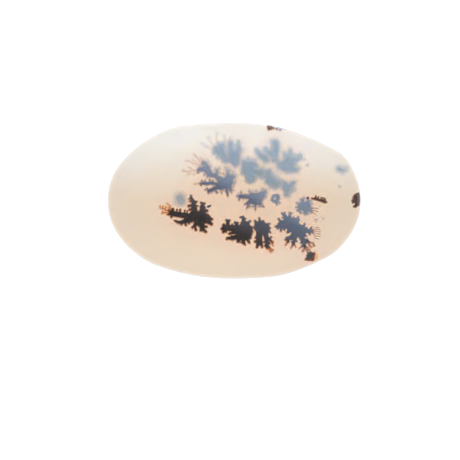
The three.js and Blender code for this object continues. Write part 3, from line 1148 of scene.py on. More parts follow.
def near_ferns() -> list[Growth]:
    """List the sooty growths close under the top of the stone, from left to right.

    Returns:
        The growths, not yet modelled.
    """
    return [
        Growth("fern_left", (
            arm((-5.0, -1.9), (-3.95, -2.0), wide=(0.68, 0.62)),
            arm((-4.7, -2.3), (-3.9, -2.5), wide=(0.5, 0.45)),
            arm((-5.3, -2.0), (-6.3, -1.85), (-7.1, -1.72), (-7.75, -1.6), wide=(0.34, 0.32)),
            arm((-5.3, -2.25), (-6.05, -2.5), (-6.6, -2.72), (-7.05, -2.68), (-7.42, -2.48),
                wide=(0.42, 0.1)),
            arm((-4.95, -1.5), (-5.05, -0.8), (-5.1, -0.15), wide=(0.42, 0.26)),
            arm((-5.2, 0.05), (-5.38, 0.35), (-5.4, 0.65), wide=(0.2, 0.11)),
            arm((-4.05, -1.5), (-3.95, -0.8), (-3.93, -0.4), wide=(0.4, 0.2)),
            arm((-4.15, -2.6), (-3.98, -3.55), wide=(0.42, 0.28)),
            arm((-4.6, -2.5), (-4.95, -3.15), wide=(0.36, 0.2)),
            arm((-3.6, -2.1), (-3.0, -2.25), wide=(0.35, 0.2)),
            arm((-3.6, -2.4), (-3.05, -2.75), wide=(0.4, 0.22)),
        ), (
            (-7.68, -1.08, 0.18), (-8.15, -1.2, 0.12), (-8.17, -1.68, 0.15), (-7.85, -1.98, 0.15),
            (-7.15, -1.12, 0.09), (-6.75, -1.12, 0.1), (-6.17, -1.22, 0.08), (-5.87, -1.27, 0.07),
            (-5.58, -1.12, 0.14), (-6.05, -3.02, 0.13), (-6.6, -2.98, 0.09), (-5.65, -2.8, 0.13),
            (-5.33, -2.65, 0.1), (-5.65, -0.65, 0.17), (-5.52, -0.08, 0.1), (-5.62, 0.22, 0.09),
            (-4.6, -0.65, 0.11), (-4.72, -0.15, 0.13), (-4.13, -0.24, 0.14), (-3.72, -0.33, 0.13),
            (-4.22, -0.72, 0.12), (-3.66, -0.85, 0.12), (-3.46, -1.25, 0.2), (-3.3, -1.72, 0.11),
            (-2.83, -2.3, 0.17), (-3.1, -1.96, 0.13), (-2.85, -2.9, 0.18), (-3.48, -3.22, 0.15),
            (-4.2, -3.7, 0.14), (-3.58, -3.84, 0.17), (-4.47, -3.1, 0.12), (-5.2, -3.3, 0.15),
            (-4.8, -3.62, 0.15),
        ), rust=0.2),
        Growth("islet", (arm((-3.28, -0.76), (-2.98, -0.64), wide=(0.16, 0.14)),)),
        Growth("fern_middle", (
            arm((1.05, -3.65), (1.5, -3.7), wide=(0.78, 0.82)),
            arm((0.9, -4.3), (1.5, -4.2), wide=(0.55, 0.6)),
            arm((0.8, -3.65), (0.0, -3.45), (-0.8, -3.4), (-1.25, -3.42), wide=(0.44, 0.34)),
            arm((-0.8, -3.2), (-0.8, -2.55), wide=(0.24, 0.2)),
            arm((0.35, -3.2), (0.25, -2.85), wide=(0.25, 0.2)),
            arm((0.9, -4.35), (0.3, -4.55), (-0.25, -4.68), (-0.85, -4.68), wide=(0.4, 0.14)),
            arm((0.5, -4.0), (0.0, -3.98), (-0.6, -4.12), wide=(0.24, 0.14)),
            arm((1.3, -3.1), (1.18, -2.6), (1.15, -2.25), (1.0, -2.05), wide=(0.36, 0.15)),
            arm((1.6, -3.1), (1.75, -2.75), wide=(0.35, 0.2)),
            arm((0.7, -4.6), (0.55, -5.0), wide=(0.26, 0.18)),
            arm((1.1, -4.7), (1.18, -5.25), wide=(0.3, 0.18)),
            arm((1.55, -4.7), (1.87, -5.2), wide=(0.2, 0.14)),
            arm((1.9, -4.1), (1.92, -4.65), wide=(0.3, 0.17)),
        ), (
            (-0.98, -2.42, 0.14), (-0.6, -2.45, 0.13), (-1.3, -3.02, 0.18), (-1.58, -3.52, 0.13),
            (-1.35, -3.88, 0.17), (-1.02, -3.88, 0.12), (-0.25, -2.98, 0.12), (0.1, -2.7, 0.14),
            (0.42, -2.75, 0.13), (0.85, -2.8, 0.12), (0.78, -2.05, 0.12), (1.12, -1.97, 0.12),
            (1.38, -2.22, 0.12), (1.5, -2.65, 0.12), (1.97, -2.55, 0.15), (2.22, -3.3, 0.13),
            (2.25, -3.85, 0.15), (2.14, -4.2, 0.14), (2.08, -4.55, 0.12), (-0.3, -4.42, 0.12),
            (-0.25, -4.85, 0.13), (0.1, -4.38, 0.12), (-0.92, -4.78, 0.12), (0.42, -5.1, 0.13),
            (0.68, -5.1, 0.13), (0.97, -5.22, 0.12), (1.32, -5.45, 0.13), (0.35, -4.85, 0.1),
        ), rust=0.18),
        Growth("fern_right", (
            arm((3.05, -3.3), (3.85, -3.4), wide=(0.62, 0.62)),
            arm((3.2, -3.0), (3.5, -2.8), wide=(0.5, 0.35)),
            arm((2.8, -3.0), (2.65, -2.65), wide=(0.25, 0.15)),
            arm((3.2, -2.7), (3.14, -2.25), wide=(0.2, 0.12)),
            arm((4.0, -3.05), (4.35, -2.87), wide=(0.2, 0.13)),
            arm((3.9, -3.7), (4.35, -3.85), wide=(0.4, 0.17)),
            arm((3.2, -3.8), (3.12, -4.6), (3.15, -5.2), wide=(0.46, 0.34)),
            arm((3.0, -5.2), (2.9, -5.65), wide=(0.22, 0.15)),
            arm((3.3, -5.2), (3.45, -5.6), wide=(0.22, 0.15)),
            arm((3.85, -3.9), (4.02, -4.6), (4.1, -5.2), (4.08, -5.7), wide=(0.36, 0.2)),
            arm((4.1, -4.6), (4.55, -4.92), (4.75, -5.2), wide=(0.14, 0.1)),
            arm((4.15, -5.1), (4.42, -5.35), wide=(0.15, 0.13)),
        ), (
            (2.62, -2.5, 0.14), (2.9, -2.68, 0.12), (3.13, -2.17, 0.13), (3.62, -2.52, 0.14),
            (4.43, -2.83, 0.11), (4.15, -2.9, 0.12), (4.48, -3.4, 0.12), (4.48, -3.92, 0.13),
            (2.45, -3.4, 0.1), (2.7, -4.6, 0.13), (2.64, -5.1, 0.16), (2.85, -5.78, 0.14),
            (3.1, -5.55, 0.1), (3.48, -5.75, 0.13), (3.5, -5.2, 0.12), (3.78, -5.15, 0.13),
            (3.86, -5.6, 0.13), (4.12, -5.88, 0.16), (4.33, -5.74, 0.13), (4.6, -4.52, 0.11),
        ), rust=0.2),
        Growth("fern_slate", (
            arm((5.9, -3.05), (6.9, -2.75), wide=(0.5, 0.72)),
            arm((6.9, -2.8), (7.6, -2.6), wide=(0.72, 0.5)),
            arm((7.2, -3.2), (8.4, -3.7), wide=(0.72, 0.66)),
            arm((7.6, -3.8), (8.4, -4.0), wide=(0.5, 0.56)),
            arm((6.5, -2.3), (6.2, -1.7), wide=(0.36, 0.22)),
            arm((6.9, -2.2), (6.95, -1.7), wide=(0.3, 0.18)),
            arm((7.6, -2.5), (7.9, -2.25), wide=(0.4, 0.22)),
            arm((5.9, -2.75), (5.6, -2.4), wide=(0.3, 0.13)),
            arm((5.9, -3.1), (5.4, -3.25), wide=(0.4, 0.18)),
            arm((8.5, -3.4), (8.75, -3.0), wide=(0.3, 0.13)),
            arm((8.5, -3.6), (9.1, -3.75), (9.6, -3.8), wide=(0.44, 0.2)),
            arm((7.6, -4.0), (7.2, -4.5), (6.75, -4.72), wide=(0.36, 0.24)),
            arm((7.7, -4.3), (7.5, -4.95), (7.4, -5.3), wide=(0.3, 0.14)),
            arm((8.3, -4.2), (8.6, -4.9), (8.75, -5.5), wide=(0.44, 0.2)),
            arm((8.7, -4.9), (9.15, -4.95), wide=(0.22, 0.16)),
        ), (
            (5.98, -1.55, 0.14), (6.32, -1.5, 0.14), (6.9, -1.52, 0.15), (7.12, -1.55, 0.12),
            (7.4, -2.02, 0.1), (7.98, -2.05, 0.16), (8.1, -2.4, 0.13), (8.02, -2.82, 0.1),
            (8.78, -2.85, 0.14), (9.05, -3.35, 0.12), (5.55, -2.25, 0.13), (5.98, -2.12, 0.1),
            (5.86, -2.5, 0.12), (5.25, -3.2, 0.17), (5.45, -3.42, 0.13), (5.5, -2.85, 0.12),
            (5.85, -3.7, 0.14), (6.25, -3.6, 0.12), (6.65, -3.9, 0.15), (6.9, -3.9, 0.12),
            (9.58, -3.42, 0.14), (9.82, -3.92, 0.12), (9.42, -4.12, 0.16), (9.78, -3.62, 0.1),
            (8.97, -4.38, 0.13), (6.42, -4.85, 0.13), (6.75, -5.08, 0.13), (6.55, -4.55, 0.11),
            (7.15, -4.8, 0.12), (7.78, -5.02, 0.13), (7.35, -5.45, 0.12), (7.2, -5.1, 0.1),
            (8.38, -5.2, 0.14), (8.88, -5.72, 0.14), (8.5, -5.6, 0.12), (9.12, -4.78, 0.12),
            (9.3, -5.18, 0.13), (9.0, -5.25, 0.1),
        ), soft=0.6, rust=0.14, plump=0.03),
        Growth("star", (
            arm((9.48, -6.84), (9.58, -6.88), wide=(0.35, 0.33)),
            arm((9.4, -7.0), (9.08, -7.22), wide=(0.25, 0.13)),
            arm((9.62, -7.0), (9.78, -7.3), wide=(0.18, 0.09)),
            arm((9.52, -6.7), (9.56, -6.4), wide=(0.22, 0.1)),
            arm((9.7, -6.8), (10.02, -6.6), wide=(0.18, 0.09)),
            arm((9.45, -7.1), (9.4, -7.3), wide=(0.2, 0.1)),
        ), (
            (9.24, -6.52, 0.11), (8.98, -7.3, 0.1), (9.12, -6.86, 0.1),
        ), buried=0.12, rust=0.2),
    ]


def middle_ferns() -> list[Growth]:
    """List the slate blue growths half way down, from left to right.

    Returns:
        The growths, not yet modelled.
    """
    return [
        Growth("fern_upper", (
            arm((-3.7, 4.55), (-3.4, 3.9), wide=(0.42, 0.55)),
            arm((-3.6, 3.95), (-4.35, 3.82), wide=(0.42, 0.3)),
            arm((-3.4, 3.8), (-3.1, 3.25), (-2.4, 3.1), wide=(0.45, 0.3)),
            arm((-2.3, 3.05), (-2.12, 3.7), wide=(0.34, 0.24)),
            arm((-2.25, 3.0), (-1.5, 2.35), wide=(0.3, 0.6)),
            arm((-1.7, 1.9), (-0.75, 2.4), wide=(0.64, 0.74)),
            arm((-0.75, 2.9), (-0.82, 3.7), wide=(0.5, 0.24)),
            arm((-0.4, 2.8), (-0.12, 2.95), wide=(0.5, 0.4)),
            arm((-2.0, 2.0), (-2.8, 2.2), (-3.4, 2.1), (-3.98, 2.18), wide=(0.26, 0.24)),
            arm((-2.1, 1.7), (-2.8, 1.33), (-3.2, 1.24), wide=(0.34, 0.24)),
            arm((-0.95, 1.9), (-0.9, 1.2), (-0.8, 0.62), wide=(0.35, 0.14)),
            arm((-0.6, 1.9), (-0.45, 1.35), wide=(0.38, 0.24)),
        ), (
            (-4.15, 4.2, 0.15), (-4.5, 3.5, 0.14), (-3.9, 4.65, 0.15), (-3.42, 4.62, 0.15),
            (-3.0, 4.2, 0.14), (-3.75, 3.25, 0.13), (-3.4, 2.95, 0.14), (-2.75, 3.55, 0.13),
            (-1.88, 3.92, 0.15), (-2.35, 3.9, 0.12), (-1.78, 3.35, 0.12), (-1.02, 3.92, 0.15),
            (-0.55, 3.7, 0.13), (-0.25, 3.5, 0.14), (0.08, 3.05, 0.15), (0.14, 2.7, 0.14),
            (0.1, 2.3, 0.16), (0.0, 2.05, 0.13), (-4.05, 2.5, 0.12), (-4.3, 2.2, 0.12),
            (-4.15, 1.95, 0.17), (-3.5, 1.95, 0.16), (-3.6, 2.52, 0.12), (-3.05, 2.6, 0.15),
            (-2.65, 2.5, 0.12), (-2.72, 1.93, 0.14), (-3.42, 1.55, 0.12), (-3.68, 1.38, 0.1),
            (-3.2, 0.96, 0.15), (-2.85, 1.03, 0.13), (-2.48, 1.2, 0.12), (-2.15, 0.98, 0.16),
            (-1.6, 1.0, 0.13), (-1.3, 1.28, 0.12), (-0.35, 1.03, 0.13), (-0.12, 1.32, 0.1),
            (-0.1, 1.75, 0.12),
        ), soft=1.4, rust=0.13),
        Growth("fern_centre", (
            arm((2.2, 0.5), (3.2, 0.45), wide=(0.55, 0.6)),
            arm((2.1, -0.1), (3.1, -0.2), wide=(0.4, 0.42)),
            arm((1.8, 0.5), (1.2, 0.5), (0.7, 0.5), wide=(0.36, 0.28)),
            arm((3.3, 0.7), (3.75, 0.98), wide=(0.5, 0.42)),
            arm((2.0, -0.1), (1.7, -0.35), wide=(0.35, 0.25)),
            arm((2.6, -0.3), (2.66, -0.8), (2.62, -1.15), wide=(0.2, 0.11)),
        ), (
            (0.85, 1.05, 0.15), (0.38, 0.58, 0.14), (0.62, 0.12, 0.15), (0.52, 0.88, 0.1),
            (1.35, 0.8, 0.12), (1.1, 0.15, 0.1), (3.5, 1.42, 0.17), (3.88, 1.3, 0.14),
            (3.95, 0.95, 0.16), (3.9, 0.5, 0.17), (3.78, 0.28, 0.13), (1.35, -0.42, 0.15),
            (1.55, -0.15, 0.1), (1.68, -0.85, 0.14), (1.52, -1.0, 0.09), (1.95, -0.75, 0.14),
            (2.3, -0.72, 0.13), (3.2, -0.75, 0.13), (3.0, -0.68, 0.1), (3.62, -0.75, 0.16),
            (3.58, -0.3, 0.1), (3.5, 0.0, 0.13), (1.85, 1.18, 0.14), (2.25, 1.12, 0.13),
            (2.7, 1.2, 0.13), (2.98, 1.05, 0.1),
        ), soft=1.2, rust=0.13),
        Growth("ringlet", (
            arm((4.75, 0.25), (4.92, 0.6), (5.35, 0.64), (5.55, 0.25), (5.3, -0.15), (4.9, -0.1),
                (4.75, 0.25), wide=(0.17, 0.17)),
            arm((5.28, 0.3), (5.3, 0.0), wide=(0.14, 0.17)),
        ), (
            (5.3, -0.48, 0.14), (5.68, -0.3, 0.1), (5.62, 0.62, 0.1), (4.6, 0.05, 0.1),
        ), soft=0.5, tone=0.5, plump=0.06),
        Growth("shield", (
            arm((8.4, -0.7), (9.0, -0.85), wide=(0.5, 0.56)),
            arm((8.3, -0.5), (7.95, -0.35), wide=(0.3, 0.13)),
            arm((8.6, -0.3), (8.5, 0.1), wide=(0.3, 0.17)),
            arm((9.0, -0.4), (9.4, -0.03), wide=(0.35, 0.17)),
            arm((8.5, -0.9), (8.0, -1.15), wide=(0.3, 0.15)),
            arm((9.0, -1.0), (8.85, -1.45), wide=(0.4, 0.2)),
            arm((9.2, -1.0), (9.6, -1.35), wide=(0.35, 0.17)),
        ), (
            (7.82, -0.3, 0.12), (7.77, -0.83, 0.13), (7.9, -1.2, 0.13), (8.3, 0.12, 0.12),
            (8.68, 0.28, 0.13), (9.2, 0.08, 0.12), (9.52, -0.08, 0.1), (9.6, -0.42, 0.12),
            (8.28, -1.5, 0.13), (8.6, -1.5, 0.1), (8.85, -1.68, 0.13), (9.2, -1.62, 0.12),
            (9.6, -1.42, 0.13), (9.66, -0.92, 0.13),
        ), soft=0.6, tone=0.5, plump=0.07),
    ]


def deep_ferns() -> list[Growth]:
    """List the pale blue growths deep in the stone, from left to right.

    Returns:
        The growths, not yet modelled.
    """
    return [
        Growth("plume_left", (
            arm((-1.95, 6.2), (-1.5, 5.55), wide=(0.52, 0.44)),
            arm((-1.65, 6.6), (-1.4, 5.9), wide=(0.3, 0.36)),
        ), (
            (-2.42, 5.9, 0.24), (-2.35, 6.4, 0.2), (-1.95, 6.75, 0.2), (-1.5, 6.85, 0.2),
            (-1.15, 5.3, 0.26), (-1.35, 4.95, 0.2), (-2.0, 5.4, 0.2),
        ), soft=1.0, plump=0.1),
        Growth("plume_right", (
            arm((-0.45, 6.8), (-0.38, 5.8), (-0.2, 5.0), wide=(0.34, 0.5)),
            arm((0.45, 6.6), (0.38, 5.8), (0.15, 4.85), wide=(0.34, 0.54)),
            arm((0.0, 6.2), (0.0, 5.2), wide=(0.26, 0.5)),
            arm((-0.1, 5.0), (0.1, 4.55), wide=(0.5, 0.34)),
        ), (
            (-0.5, 7.05, 0.22), (-0.1, 6.75, 0.16), (0.5, 6.95, 0.22), (0.78, 6.2, 0.2),
            (-1.0, 4.85, 0.22), (-0.65, 5.2, 0.3), (0.15, 4.35, 0.2), (-0.9, 6.35, 0.12),
        ), soft=1.0, plump=0.1),
        Growth("cloud_left", (
            arm((1.5, 4.3), (2.3, 4.25), wide=(0.6, 0.55)),
            arm((1.75, 3.8), (2.05, 2.8), wide=(0.78, 0.56)),
            arm((2.4, 3.5), (3.3, 3.35), wide=(0.5, 0.5)),
        ), (
            (1.25, 4.8, 0.24), (1.8, 4.98, 0.2), (2.4, 4.75, 0.26), (2.85, 4.25, 0.2), (1.0, 3.8, 0.2),
            (1.05, 3.3, 0.2), (1.6, 2.5, 0.24), (2.0, 2.3, 0.22), (2.4, 2.5, 0.24), (2.65, 2.9, 0.2),
            (3.45, 3.8, 0.22), (3.72, 3.3, 0.18), (3.4, 2.9, 0.24),
        ), soft=1.0, plump=0.1),
        Growth("cloud_right", (
            arm((4.25, 3.3), (4.45, 2.6), wide=(0.46, 0.6)),
            arm((4.6, 2.4), (5.15, 2.15), wide=(0.64, 0.58)),
        ), (
            (4.4, 3.65, 0.22), (3.95, 3.45, 0.2), (4.8, 3.2, 0.18), (5.25, 2.75, 0.24), (5.6, 2.4, 0.2),
            (5.6, 1.9, 0.2), (4.6, 1.75, 0.24), (5.1, 1.6, 0.22), (3.95, 2.3, 0.2),
        ), soft=1.0, plump=0.1),
        Growth("drop", (
            arm((6.4, 1.9), (6.5, 1.5), (6.55, 0.88), wide=(0.44, 0.3)),
            arm((6.7, 1.6), (7.3, 2.2), wide=(0.46, 0.22)),
        ), (
            (7.5, 2.3, 0.16), (7.45, 1.9, 0.14), (7.4, 1.4, 0.2), (7.0, 1.2, 0.26), (6.15, 2.2, 0.2),
            (6.12, 1.55, 0.18), (6.4, 0.65, 0.2), (6.8, 0.62, 0.16),
        ), soft=0.9, plump=0.1),
        Growth("feather", (
            arm((2.9, 6.0), (3.3, 5.45), (3.9, 5.05), wide=(0.24, 0.4)),
        ), ((2.8, 6.2, 0.16), (3.6, 5.55, 0.16), (4.1, 4.85, 0.2)), soft=0.9, plump=0.1),
        Growth("antler", (
            arm((5.0, 5.2), (5.1, 6.0), (5.12, 6.95), wide=(0.42, 0.48)),
            arm((4.8, 5.6), (4.3, 5.85), (3.95, 6.35), wide=(0.36, 0.2)),
            arm((4.7, 5.9), (4.6, 6.3), wide=(0.25, 0.16)),
        ), (
            (4.75, 7.1, 0.22), (5.4, 6.8, 0.24), (5.45, 6.2, 0.18), (4.9, 4.95, 0.2), (3.8, 6.15, 0.12),
        ), soft=0.9, plump=0.1),
        Growth("crown", (
            arm((5.8, 4.3), (6.9, 4.05), wide=(0.54, 0.66)),
            arm((6.6, 3.9), (7.7, 3.72), wide=(0.5, 0.3)),
            arm((6.4, 4.6), (7.2, 4.6), wide=(0.46, 0.46)),
            arm((6.45, 4.8), (6.35, 5.4), wide=(0.38, 0.28)),
            arm((6.85, 4.9), (6.95, 5.85), wide=(0.42, 0.2)),
            arm((7.1, 4.8), (7.75, 5.1), (8.15, 5.4), wide=(0.4, 0.26)),
        ), (
            (6.25, 5.75, 0.18), (6.95, 6.15, 0.16), (5.5, 4.65, 0.26), (7.95, 3.9, 0.18), (7.5, 4.4, 0.2),
            (6.0, 3.85, 0.2), (8.3, 5.15, 0.16), (7.5, 5.5, 0.16),
        ), soft=0.9, plump=0.1),
        Growth("mist_left", (
            arm((-6.75, 0.3), (-6.65, 0.0), wide=(1.2, 1.2)),
            arm((-6.9, -0.1), (-7.35, -0.2), wide=(0.8, 0.65)),
        ), mineral=Mineral.HAZE, buried=3.0, tone=0.55, fade=1.1, strength=0.76, thickness=0.05),
        Growth("mist_right", (
            arm((13.1, 3.92), (13.55, 3.72), wide=(0.78, 0.74)),
        ), mineral=Mineral.HAZE, buried=1.6, tone=0.52, fade=0.8, strength=0.75, thickness=0.05),
    ]


# What the fine clear threads of stain share.
CLEAR_FILM = {
    "mineral": Mineral.STAIN, "thickness": 0.06, "grain": 0.04, "plump": 0.03, "fade": 0.05,
}


def stained_threads() -> list[Growth]:
    """List the clear rusty threads and fans at the ends of the near growths, from left to right.

    Returns:
        The growths, not yet modelled.
    """
    rusty = {"mineral": Mineral.STAIN, "thickness": 0.04, "grain": 0.05}
    return [
        Growth("threads_left", (
            arm((-7.9, -1.3), (-8.4, -1.2), (-8.8, -1.02), (-9.25, -0.88), wide=(0.07, 0.03)),
            arm((-8.1, -1.5), (-8.7, -1.5), (-9.05, -1.55), wide=(0.05, 0.03)),
            arm((-8.1, -1.65), (-8.45, -1.72), wide=(0.05, 0.03)),
            arm((-8.02, -0.65), (-8.42, -0.33), wide=(0.04, 0.03)),
            arm((-7.95, -1.1), (-8.05, -0.7), wide=(0.05, 0.03)),
        ), (
            (-9.28, -0.64, 0.05), (-8.92, -0.68, 0.05), (-8.55, -0.74, 0.05), (-8.3, -0.9, 0.05),
            (-8.95, -1.32, 0.05), (-8.6, -1.3, 0.05),
        ), shade=0.6, rust=0.2, **CLEAR_FILM),
        Growth("wisp_left", (
            arm((-7.45, -2.75), (-8.0, -2.9), (-8.15, -3.3), wide=(0.05, 0.04)),
        ), shade=0.85, strength=0.5, **CLEAR_FILM),
        Growth("wisp_low", (
            arm((-3.55, -3.95), (-3.35, -4.25), wide=(0.07, 0.05)),
        ), shade=0.75, strength=0.8, **CLEAR_FILM),
        Growth("thread_right", (
            arm((4.3, -5.8), (4.56, -6.08), wide=(0.12, 0.15)),
            arm((4.35, -4.95), (4.8, -5.3), wide=(0.06, 0.09)),
            arm((4.75, -5.2), (4.85, -5.6), wide=(0.09, 0.05)),
        ), (
            (4.68, -6.2, 0.16), (4.42, -6.14, 0.1), (4.84, -6.14, 0.08), (4.6, -6.36, 0.09),
            (4.86, -5.05, 0.07),
        ), shade=0.58, rust=0.2, **CLEAR_FILM),
        Growth("star_rust", (
            arm((10.1, -6.5), (10.3, -6.85), (10.3, -7.1), (10.14, -7.3), wide=(0.38, 0.35)),
            arm((8.95, -7.4), (9.5, -7.5), (9.85, -7.42), wide=(0.2, 0.2)),
        ), shade=0.76, buried=0.2, fade=0.34, **rusty),
        Growth("star_brown", (
            arm((9.85, -6.6), (9.98, -6.85), (9.95, -7.15), (9.9, -7.42), wide=(0.26, 0.2)),
            arm((8.98, -7.32), (9.45, -7.4), (9.8, -7.42), wide=(0.2, 0.2)),
        ), shade=0.24, buried=0.16, fade=0.14, **rusty),
        Growth("fan_slate_left", (
            arm((6.75, -5.0), (6.55, -5.3), (6.42, -5.52), wide=(0.12, 0.1)),
            arm((7.35, -5.4), (7.25, -5.65), (7.1, -5.86), wide=(0.12, 0.09)),
            arm((7.5, -5.3), (7.68, -5.72), wide=(0.07, 0.08)),
        ), shade=0.45, strength=0.9, rust=0.1, buried=0.45, **CLEAR_FILM),
        Growth("fan_slate_low", (
            arm((8.8, -5.7), (8.75, -6.0), (8.6, -6.26), wide=(0.12, 0.14)),
            arm((8.85, -5.75), (9.05, -6.1), (9.15, -6.2), wide=(0.1, 0.15)),
            arm((8.9, -5.7), (9.25, -5.85), wide=(0.1, 0.08)),
            arm((8.7, -5.7), (8.3, -5.8), (8.15, -5.95), wide=(0.08, 0.06)),
            arm((9.1, -6.1), (9.42, -6.1), wide=(0.1, 0.1)),
            arm((9.2, -5.05), (9.55, -5.25), (9.85, -5.28), (9.95, -5.6), wide=(0.09, 0.12)),
            arm((9.3, -5.2), (9.4, -5.55), (9.62, -5.75), wide=(0.07, 0.12)),
        ), shade=0.4, strength=0.85, rust=0.12, buried=0.45, **CLEAR_FILM),
        Growth("fan_slate_right", (
            arm((9.78, -3.7), (10.1, -3.42), (10.6, -3.36), wide=(0.04, 0.05)),
            arm((9.8, -3.78), (10.25, -3.63), (10.76, -3.62), wide=(0.03, 0.05)),
            arm((9.82, -3.86), (10.3, -3.88), (10.8, -3.92), wide=(0.03, 0.05)),
            arm((9.8, -3.95), (10.3, -4.14), (10.78, -4.2), wide=(0.03, 0.05)),
            arm((9.75, -4.05), (10.2, -4.4), (10.74, -4.5), wide=(0.04, 0.05)),
            arm((9.95, -4.4), (10.15, -4.68), (10.55, -4.8), wide=(0.04, 0.05)),
            arm((9.55, -3.45), (9.72, -3.28), wide=(0.1, 0.09)),
        ), shade=0.24, buried=0.35, **(CLEAR_FILM | {"plump": 0.025})),
        Growth("fan_shield", (
            arm((9.75, -0.98), (10.1, -0.95), (10.45, -1.0), wide=(0.05, 0.07)),
            arm((9.72, -1.2), (10.05, -1.25), (10.4, -1.36), wide=(0.05, 0.07)),
            arm((9.7, -1.42), (9.95, -1.55), (10.2, -1.72), wide=(0.05, 0.06)),
        ), shade=0.25, strength=0.8, buried=0.4, **CLEAR_FILM),
        Growth("fan_comb", (
            arm((9.85, -0.28), (10.5, -0.3), (11.2, -0.4), wide=(0.06, 0.06)),
            arm((9.9, -0.52), (10.5, -0.58), (10.9, -0.62), wide=(0.05, 0.05)),
        ), shade=0.7, strength=0.35, buried=0.5, **CLEAR_FILM),
    ]


def iron_crusts() -> list[Growth]:
    """List the solid rusty growths just under the surface, at the right and the upper edge.

    Returns:
        The growths, not yet modelled.
    """
    iron = {"mineral": Mineral.IRON, "thickness": 0.1, "grain": 0.04}
    return [
        Growth("comb", (
            arm((9.75, 0.28), (10.15, 0.2), (10.3, 0.17), (11.38, -0.13), wide=(0.08, 0.19)),
            arm((10.22, 0.25), (10.22, 0.6), wide=(0.13, 0.08)),
            arm((10.5, 0.2), (10.54, 0.48), wide=(0.1, 0.07)),
            arm((10.85, 0.1), (10.9, 0.42), wide=(0.1, 0.07)),
            arm((11.1, 0.0), (11.15, 0.38), wide=(0.1, 0.07)),
            arm((11.33, -0.05), (11.38, 0.28), wide=(0.1, 0.07)),
            arm((11.42, -0.12), (11.6, -0.16), wide=(0.12, 0.06)),
        ), ((9.75, 0.28, 0.13), (10.1, 0.38, 0.1)), shade=0.18, buried=0.15, rust=0.12, **iron),
        Growth("comb_dot", (
            arm((9.17, 0.35), (9.23, 0.35), wide=(0.13, 0.13)),
        ), shade=0.22, buried=0.15, rust=0.1, **iron),
        Growth("half_moon", (
            arm((15.48, 0.72), (15.56, 0.2), (15.42, -0.38), wide=(0.24, 0.28)),
            arm((15.38, -0.4), (15.12, -0.72), wide=(0.26, 0.14)),
            arm((15.2, 0.42), (15.2, 0.0), wide=(0.26, 0.3)),
        ), (
            (14.8, 0.05, 0.13), (14.92, 0.4, 0.13), (15.05, 0.66, 0.13), (15.3, 0.86, 0.13),
            (15.56, 0.92, 0.13), (14.85, -0.22, 0.12), (14.97, -0.68, 0.11), (15.68, 0.6, 0.13),
        ), shade=0.1, buried=0.12, rust=0.12, **iron),
        Growth("edge_spot", (
            arm((4.34, 9.2), (4.66, 9.14), wide=(0.24, 0.2)),
            arm((4.32, 9.1), (4.36, 8.92), wide=(0.18, 0.13)),
            arm((4.6, 9.1), (4.66, 8.98), wide=(0.16, 0.11)),
        ), shade=0.3, buried=0.1, rust=0.16, **iron),
        Growth("edge_specks", (
            arm((4.98, 9.06), (5.02, 9.0), wide=(0.1, 0.08)),
            arm((5.34, 9.0), (5.38, 8.94), wide=(0.12, 0.09)),
            arm((5.72, 8.88), (5.78, 8.85), wide=(0.1, 0.08)),
        ), shade=0.5, buried=0.1, rust=0.12, **iron),
    ]


def faint_fans() -> list[Growth]:
    """List the faint threads and fans of the growths in the upper half.

    Returns:
        The growths, not yet modelled.
    """
    faint = {"mineral": Mineral.STAIN, "thickness": 0.05, "grain": 0.05, "plump": 0.1}
    grey = {"mineral": Mineral.HAZE, "thickness": 0.05, "grain": 0.05, "plump": 0.14}
    return [
        Growth("fan_upper", (
            arm((-4.6, 3.75), (-5.3, 3.74), (-5.5, 3.6), (-6.0, 3.6), (-6.4, 3.7), wide=(0.14, 0.22)),
            arm((-5.4, 3.6), (-5.65, 3.4), (-5.8, 3.2), wide=(0.12, 0.16)),
            arm((-5.2, 3.8), (-5.45, 4.0), (-5.7, 4.2), wide=(0.12, 0.17)),
            arm((-4.5, 3.6), (-4.8, 3.4), (-5.1, 3.25), wide=(0.14, 0.15)),
            arm((-4.5, 4.2), (-5.0, 4.55), (-5.5, 4.85), (-6.1, 4.95), wide=(0.12, 0.15)),
            arm((-4.4, 4.4), (-4.8, 4.75), (-5.2, 5.1), wide=(0.12, 0.14)),
            arm((-4.2, 4.6), (-4.5, 5.2), (-5.05, 5.75), wide=(0.13, 0.2)),
            arm((-3.9, 4.8), (-4.25, 5.35), wide=(0.14, 0.18)),
        ), shade=0.3, buried=0.7, fade=0.3, strength=0.45, **faint),
        Growth("thread_upper", (
            arm((-4.3, 2.1), (-5.0, 2.05), wide=(0.09, 0.08)),
        ), shade=0.5, buried=0.4, fade=0.12, strength=0.6, **faint),
        Growth("dot_upper", (
            arm((-1.4, 3.35), (-1.34, 3.33), wide=(0.11, 0.11)),
        ), shade=0.4, lift=1.0, strength=0.8, **CLEAR_FILM),
        Growth("fan_plume", (
            arm((-2.3, 6.15), (-3.0, 6.5), (-3.6, 6.8), (-4.1, 7.1), wide=(0.18, 0.28)),
            arm((-2.3, 6.6), (-2.9, 7.2), (-3.3, 7.9), wide=(0.16, 0.24)),
            arm((-1.9, 6.8), (-2.2, 7.6), (-2.2, 8.4), wide=(0.16, 0.26)),
            arm((-1.3, 6.7), (-1.15, 7.4), (-1.25, 8.1), wide=(0.14, 0.2)),
            arm((-0.5, 7.1), (-0.5, 7.9), wide=(0.16, 0.2)),
            arm((0.45, 7.0), (0.6, 7.6), wide=(0.14, 0.18)),
        ), tone=0.06, buried=0.9, fade=0.42, strength=0.17, **grey),
    ]


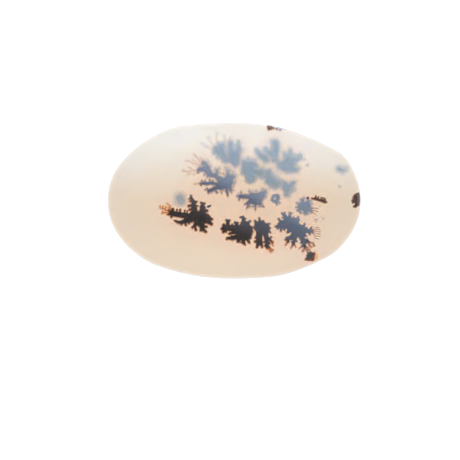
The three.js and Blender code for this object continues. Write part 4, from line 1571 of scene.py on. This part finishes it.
def specks() -> list[Growth]:
    """List the faint specks that stand alone in the right half of the stone.

    Returns:
        The growths, not yet modelled.
    """
    faint = {
        "mineral": Mineral.HAZE, "tone": 0.1, "fade": 0.34, "strength": 0.32, "thickness": 0.05,
        "buried": 0.8,
    }
    return [
        Growth("speck_upper", (arm((9.1, 4.4), (9.2, 4.4), wide=(0.36, 0.36)),), **faint),
        Growth("speck_faint", (arm((8.78, 5.1), (8.84, 5.1), wide=(0.28, 0.28)),), **faint),
        Growth("speck_right", (arm((13.16, 1.72), (13.24, 1.72), wide=(0.32, 0.32)),), **faint),
        Growth("speck_low", (arm((11.1, -2.28), (11.2, -2.22), wide=(0.3, 0.3)),), **faint),
        Growth("speck_pair", (
            arm((10.1, -2.4), (10.36, -2.38), wide=(0.12, 0.12)),
            arm((10.14, -2.7), (10.3, -2.69), wide=(0.09, 0.09)),
        ), mineral=Mineral.STAIN, shade=0.1, buried=0.3, fade=0.08, strength=0.9, thickness=0.05),
    ]


def veils(growths: list[Growth], layer: GrowthLayer) -> list[Growth]:
    """Make the soft edges of what is deep, and the rust round what is near the top.

    Args:
        growths: The solid growths.
        layer: The crack that the growths lie in.

    Returns:
        The veils, not yet modelled.
    """
    made = []
    for growth in growths:
        if growth.soft:
            ends = np.array([spot for limb in growth.limbs for spot in limb.path])
            reach = float(max(growth.softness(ends, layer))) * (1 + Haze.melt)
            made.append(Haze.over(growth, Mineral.HAZE, reach))
        if growth.rust:
            made.append(Halo.over(growth, Mineral.STAIN, growth.rust))
    return made


def minerals() -> dict[Mineral, bpy.types.Material]:
    """Make the material of each mineral.

    Returns:
        The four materials.
    """
    manganese = ManganeseOxide()
    iron = IronOxide()
    return {
        Mineral.MANGANESE: manganese.make(Mineral.MANGANESE),
        Mineral.HAZE: manganese.make(Mineral.HAZE),
        Mineral.IRON: iron.make(Mineral.IRON),
        Mineral.STAIN: iron.make(Mineral.STAIN),
    }


def main() -> None:
    """Build the stone and its minerals, then the studio."""
    logging.basicConfig(level=logging.INFO, format="%(message)s")
    stone = StoneBody()
    stone.model()
    log.info("stone smoothed: %d faces", len(stone.piece.data.polygons))
    ferns = near_ferns() + middle_ferns() + deep_ferns()
    growths = ferns + stained_threads() + iron_crusts() + faint_fans() + specks()
    layer = GrowthLayer()
    surface = stone.surface()
    materials = minerals()
    for growth in growths + veils(growths, layer):
        growth.grow(layer)
        growth.model()
        growth.bury(layer, surface)
        growth.dress(materials)
        log.info("%s: %d faces", growth.name, len(growth.piece.data.polygons))
    stone.stain([growth for growth in ferns if growth.mineral is Mineral.MANGANESE])
    stone.dress(Chalcedony().make())
    Studio().make()


if __name__ == "__main__":
    main()
